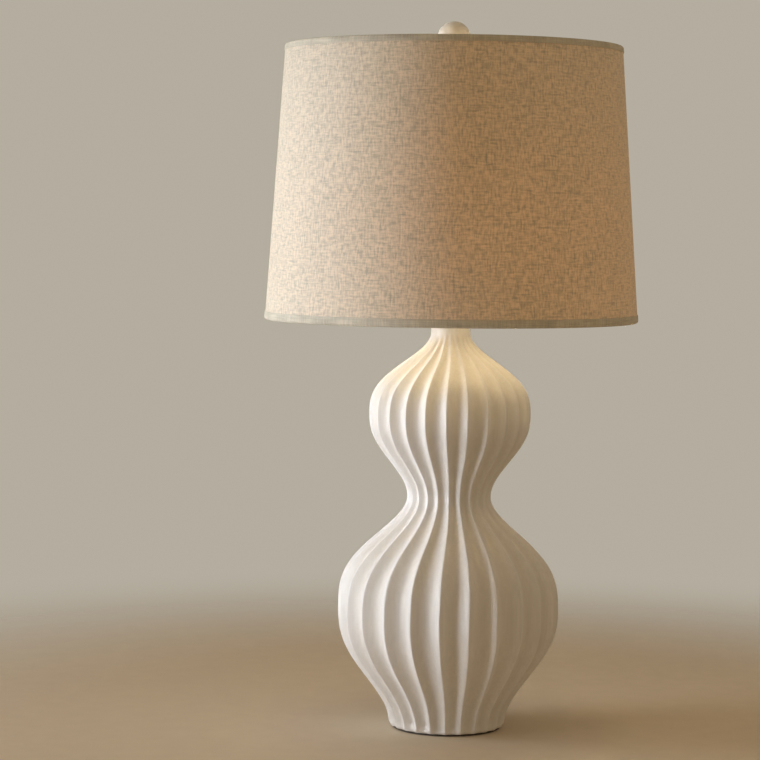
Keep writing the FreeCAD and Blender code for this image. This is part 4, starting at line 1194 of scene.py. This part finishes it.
def knob_rows(length):
    """The knob's section, from its back face round its ribbed side and front to the shaft's hole."""
    chamfer = 0.3 * MM
    shoulder = 1.1 * MM
    side = length - 3.4 * MM
    taper = 0.02 * length
    back = [(KNOB_SHAFT, chamfer, 0), (KNOB_SHAFT + chamfer, 0, 0), (KNOB_RADIUS - 0.9 * MM, 0, 0)]
    ribbed = [(KNOB_RADIUS - 0.25 * MM, 0.35 * MM, 0.4), (KNOB_RADIUS, shoulder, 1)]
    ribbed += [(KNOB_RADIUS - taper * i / 8, shoulder + side * i / 8, 1) for i in range(1, 9)]
    ribbed += [(KNOB_RADIUS - 0.7 * MM, length - 1.3 * MM, 0.6)]
    front = [(KNOB_RADIUS - 1.5 * MM, length - 0.4 * MM, 0), (KNOB_RADIUS - 2.6 * MM, length, 0)]
    front += [(1.5 * MM, length - 0.15 * MM, 0), (0, length - 0.2 * MM, 0)]
    hole = [(0, length / 2, 0), (KNOB_SHAFT, length / 2, 0), (KNOB_SHAFT, chamfer, 0)]
    section = back + ribbed + front + hole
    return [(radius, height, KNOB_RIB * share, 0) for radius, height, share in section]


class LAMP_OT_switch_knob(bpy.types.Operator):
    """Mould the ribbed switch knob"""

    bl_idname = "lamp.switch_knob"
    bl_label = "Switch Knob"

    def execute(self, context):
        low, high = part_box("switch_knob")
        plastic = moulded_finish("glossy_knob", (0.020, 0.018, 0.016), 0.22)
        knob = fluted_piece("ribbed_knob", knob_rows(high.y - low.y), plastic,
                            Around=KNOB_RIBS * 8, Flutes=KNOB_RIBS, Arris=0.1 * MM, Roundness=0.8)
        place = Matrix.Translation((0, high.y, (low.z + high.z) / 2))
        knob.data.transform(place @ Matrix.Rotation(math.radians(90), 4, "X"))
        settle(knob, "switch", "knob_plastic", "switch_knob")
        return {"FINISHED"}


# ---------------------------------------------------------------- bulb

THREAD_PITCH = 3.629 * MM
THREAD_DEPTH = 0.85 * MM
THREAD_TURNS = 5
ROWS_PER_TURN = 18
BASE_WALL = 1.6 * MM


def base_rows(low, high, crest):
    """The bulb base's section: its rolled thread, the plain collar above it and its inner face."""
    inside = crest - BASE_WALL
    count = THREAD_TURNS * ROWS_PER_TURN
    top = low + THREAD_TURNS * THREAD_PITCH
    start = 0.4 * MM
    rows = [(inside, low, 0, 0), (crest - 1.1 * MM, low, 0, 0)]
    for i in range(count + 1):
        z = low + start + (top - low - start) * i / count
        fade = min(1.0, (z - low) / THREAD_PITCH, (top - z) / THREAD_PITCH + 0.15)
        turn = 2 * math.pi * z / THREAD_PITCH
        rows.append((crest - 0.25 * MM * (1 - fade), z, THREAD_DEPTH * fade, turn))
    rows += [(crest - 0.4 * MM, top + 0.8 * MM, 0, 0), (crest - 0.4 * MM, high - 0.3 * MM, 0, 0)]
    rows += [(crest - 0.6 * MM, high, 0, 0), (crest - 1.0 * MM, high, 0, 0)]
    return rows + [(inside, high - 0.4 * MM, 0, 0), (inside, low, 0, 0)]


class LAMP_OT_bulb(bpy.types.Operator):
    """Frost and light the bulb, and roll the thread of its base"""

    bl_idname = "lamp.bulb"
    bl_label = "Bulb"

    def execute(self, context):
        coat_nodes(bulb_finish(), "bulb_glass")
        coat_nodes(clear_glass_finish(), "bulb_stem")
        tungsten = metal_finish("drawn_tungsten", (0.20, 0.19, 0.18), (0.12, 0.11, 0.10), 0.4)
        coat_nodes(tungsten, "bulb_lead_wires", "bulb_filament")
        coat_nodes(moulded_finish("black_vitreous", (0.012, 0.012, 0.014), 0.12), "bulb_base_insulator")
        solder = metal_finish("solder_tip", (0.42, 0.42, 0.41), (0.30, 0.30, 0.30), 0.45)
        coat_nodes(solder, "bulb_tip_contact")
        low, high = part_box("bulb_screw_base")
        aluminium = metal_finish("rolled_aluminium", (0.62, 0.62, 0.61), (0.48, 0.47, 0.45), 0.28,
                                 along=(1, 1, 0.3))
        base = fluted_piece("threaded_bulb_base", base_rows(low.z, high.z, high.x), aluminium,
                            Around=120, Flutes=1, Arris=0.2 * MM, Roundness=1.0)
        settle(base, "bulb", "base_aluminium", "bulb_screw_base")
        return {"FINISHED"}


# ---------------------------------------------------------------- stage

WINDOW_TINT = (0.93, 1.0, 1.11)
ROOM_TINT = (1.0, 0.82, 0.62)
LAMP_MIDDLE = Vector((0, 0, 0.36))
SHADE_MIDDLE = Vector((0, 0, (SHADE_TOP + SHADE_BOTTOM) / 2))
BODY_MIDDLE = Vector((0, 0, BODY_TOP / 2))
# Azimuth 0 is the front and 90 the picture's left, both seen from the aim; angles are in degrees.
LIGHTS = {
    "key": dict(azimuth=89, rise=0.05, distance=2.4, size=(1.1, 2.2), tint=WINDOW_TINT, aim=LAMP_MIDDLE),
    "shade_key": dict(azimuth=90, rise=0.02, distance=1.8, size=(0.6, 0.3), tint=WINDOW_TINT,
                      aim=SHADE_MIDDLE, spread=22),
    "body_key": dict(azimuth=66, rise=-0.02, distance=1.7, size=(0.5, 0.25), tint=WINDOW_TINT,
                     aim=BODY_MIDDLE, spread=24),
    "fill": dict(azimuth=-60, rise=0.25, distance=2.6, size=(1.6, 1.6), tint=ROOM_TINT, aim=LAMP_MIDDLE),
}
LOOK_DOWN = math.radians(1.90)
LOOK_ASIDE = math.radians(1.60)
CAMERA_ROLL = math.radians(0.6)
PICTURE_SHIFT = -0.10


def soft_light(name, power, azimuth, rise, distance, size, tint, aim, spread=180):
    """An area light that faces its aim."""
    light = bpy.data.lights.new(name, "AREA")
    light.shape = "RECTANGLE"
    light.size, light.size_y = size
    light.energy = power
    light.color = tint
    light.spread = math.radians(spread)
    turn = math.radians(azimuth)
    away = Vector((-math.sin(turn), -math.cos(turn), rise))
    lamp = add_object(name, light)
    lamp.location = aim + away * distance
    lamp.rotation_euler = away.to_track_quat("Z", "Y").to_euler()


def world_light(stage):
    """Soft light from all round, and the plain backdrop where a camera, metal or glass looks."""
    world = bpy.data.worlds.new("studio")
    bpy.context.scene.world = world
    world.use_nodes = True
    g = Graph(world.node_tree)
    path = g.add("ShaderNodeLightPath").outputs
    seen = g.math("MAXIMUM", path["Is Camera Ray"], path["Is Glossy Ray"])
    seen = g.math("MAXIMUM", seen, path["Is Transmission Ray"])
    colour = g.add("ShaderNodeMix", {0: seen, 6: stage.air, 7: stage.backdrop}, data_type="RGBA").outputs[2]
    g.feed(world.node_tree.nodes["Background"].inputs["Color"], colour)


def add_camera(stage):
    """The photographed view: from the front, level with the shade, the lamp right of the middle."""
    camera = bpy.data.cameras.new("camera")
    camera.sensor_width = 36
    camera.lens = stage.focal_length
    camera.shift_y = PICTURE_SHIFT
    view = add_object("camera", camera)
    tilt = Matrix.Rotation(math.radians(90) - LOOK_DOWN, 4, "X")
    turn = Matrix.Rotation(LOOK_ASIDE, 4, "Z") @ tilt @ Matrix.Rotation(CAMERA_ROLL, 4, "Z")
    view.matrix_world = Matrix.Translation((0, -stage.distance, stage.eye_height)) @ turn
    bpy.context.scene.camera = view


class LAMP_OT_stage(bpy.types.Operator):
    """Set the floor, the lights and the camera"""

    bl_idname = "lamp.stage"
    bl_label = "Stage"

    def execute(self, context):
        stage = context.scene.stage
        outline = [(0, 0), (FLOOR_INNER, 0), (FLOOR_REACH, 0), (FLOOR_REACH, -1 * MM), (0, -1 * MM)]
        mesh = turned_mesh("floor", outline, around=64)
        shape = bmesh.new()
        shape.from_mesh(mesh)
        bmesh.ops.delete(shape, geom=[f for f in shape.faces if f.normal.z < 0.5], context="FACES")
        shape.to_mesh(mesh)
        shape.free()
        new_piece("floor", mesh, floor_finish(stage.floor))
        for name, placing in LIGHTS.items():
            soft_light(name, getattr(stage, name + "_power"), **placing)
        world_light(stage)
        add_camera(stage)
        context.scene.view_settings.view_transform = "Standard"
        return {"FINISHED"}


# ---------------------------------------------------------------- panel and registration

OPERATORS = (
    LAMP_OT_gourd_body,
    LAMP_OT_linen_side,
    LAMP_OT_shade_hems,
    LAMP_OT_shade_liner,
    LAMP_OT_shade_wires,
    LAMP_OT_finial,
    LAMP_OT_base_hardware,
    LAMP_OT_neck,
    LAMP_OT_harp,
    LAMP_OT_socket,
    LAMP_OT_switch_knob,
    LAMP_OT_bulb,
    LAMP_OT_stage,
)


class LAMP_PT_panel(bpy.types.Panel):
    """Lists the lamp's pieces in the order in which they are made"""

    bl_idname = "LAMP_PT_panel"
    bl_label = "Gourd Lamp"
    bl_space_type = "VIEW_3D"
    bl_region_type = "UI"
    bl_category = "Gourd Lamp"

    def draw(self, context):
        for group in (context.scene.gourd, context.scene.shade, context.scene.stage):
            box = self.layout.box()
            for name in group.__annotations__:
                box.prop(group, name)
        for operator in OPERATORS:
            self.layout.operator(operator.bl_idname)


CLASSES = (GourdSettings, ShadeSettings, StageSettings, *OPERATORS, LAMP_PT_panel)


def register():
    """Registers the classes and hangs their settings on the scene."""
    for each in CLASSES:
        bpy.utils.register_class(each)
    bpy.types.Scene.gourd = PointerProperty(type=GourdSettings)
    bpy.types.Scene.shade = PointerProperty(type=ShadeSettings)
    bpy.types.Scene.stage = PointerProperty(type=StageSettings)


def unregister():
    """Takes the settings and the classes away again."""
    del bpy.types.Scene.stage
    del bpy.types.Scene.shade
    del bpy.types.Scene.gourd
    for each in reversed(CLASSES):
        bpy.utils.unregister_class(each)


def main():
    """Makes every piece in order."""
    register()
    for operator in OPERATORS:
        group, name = operator.bl_idname.split(".")
        getattr(getattr(bpy.ops, group), name)()
    bpy.context.view_layer.update()


if __name__ == "__main__":
    main()
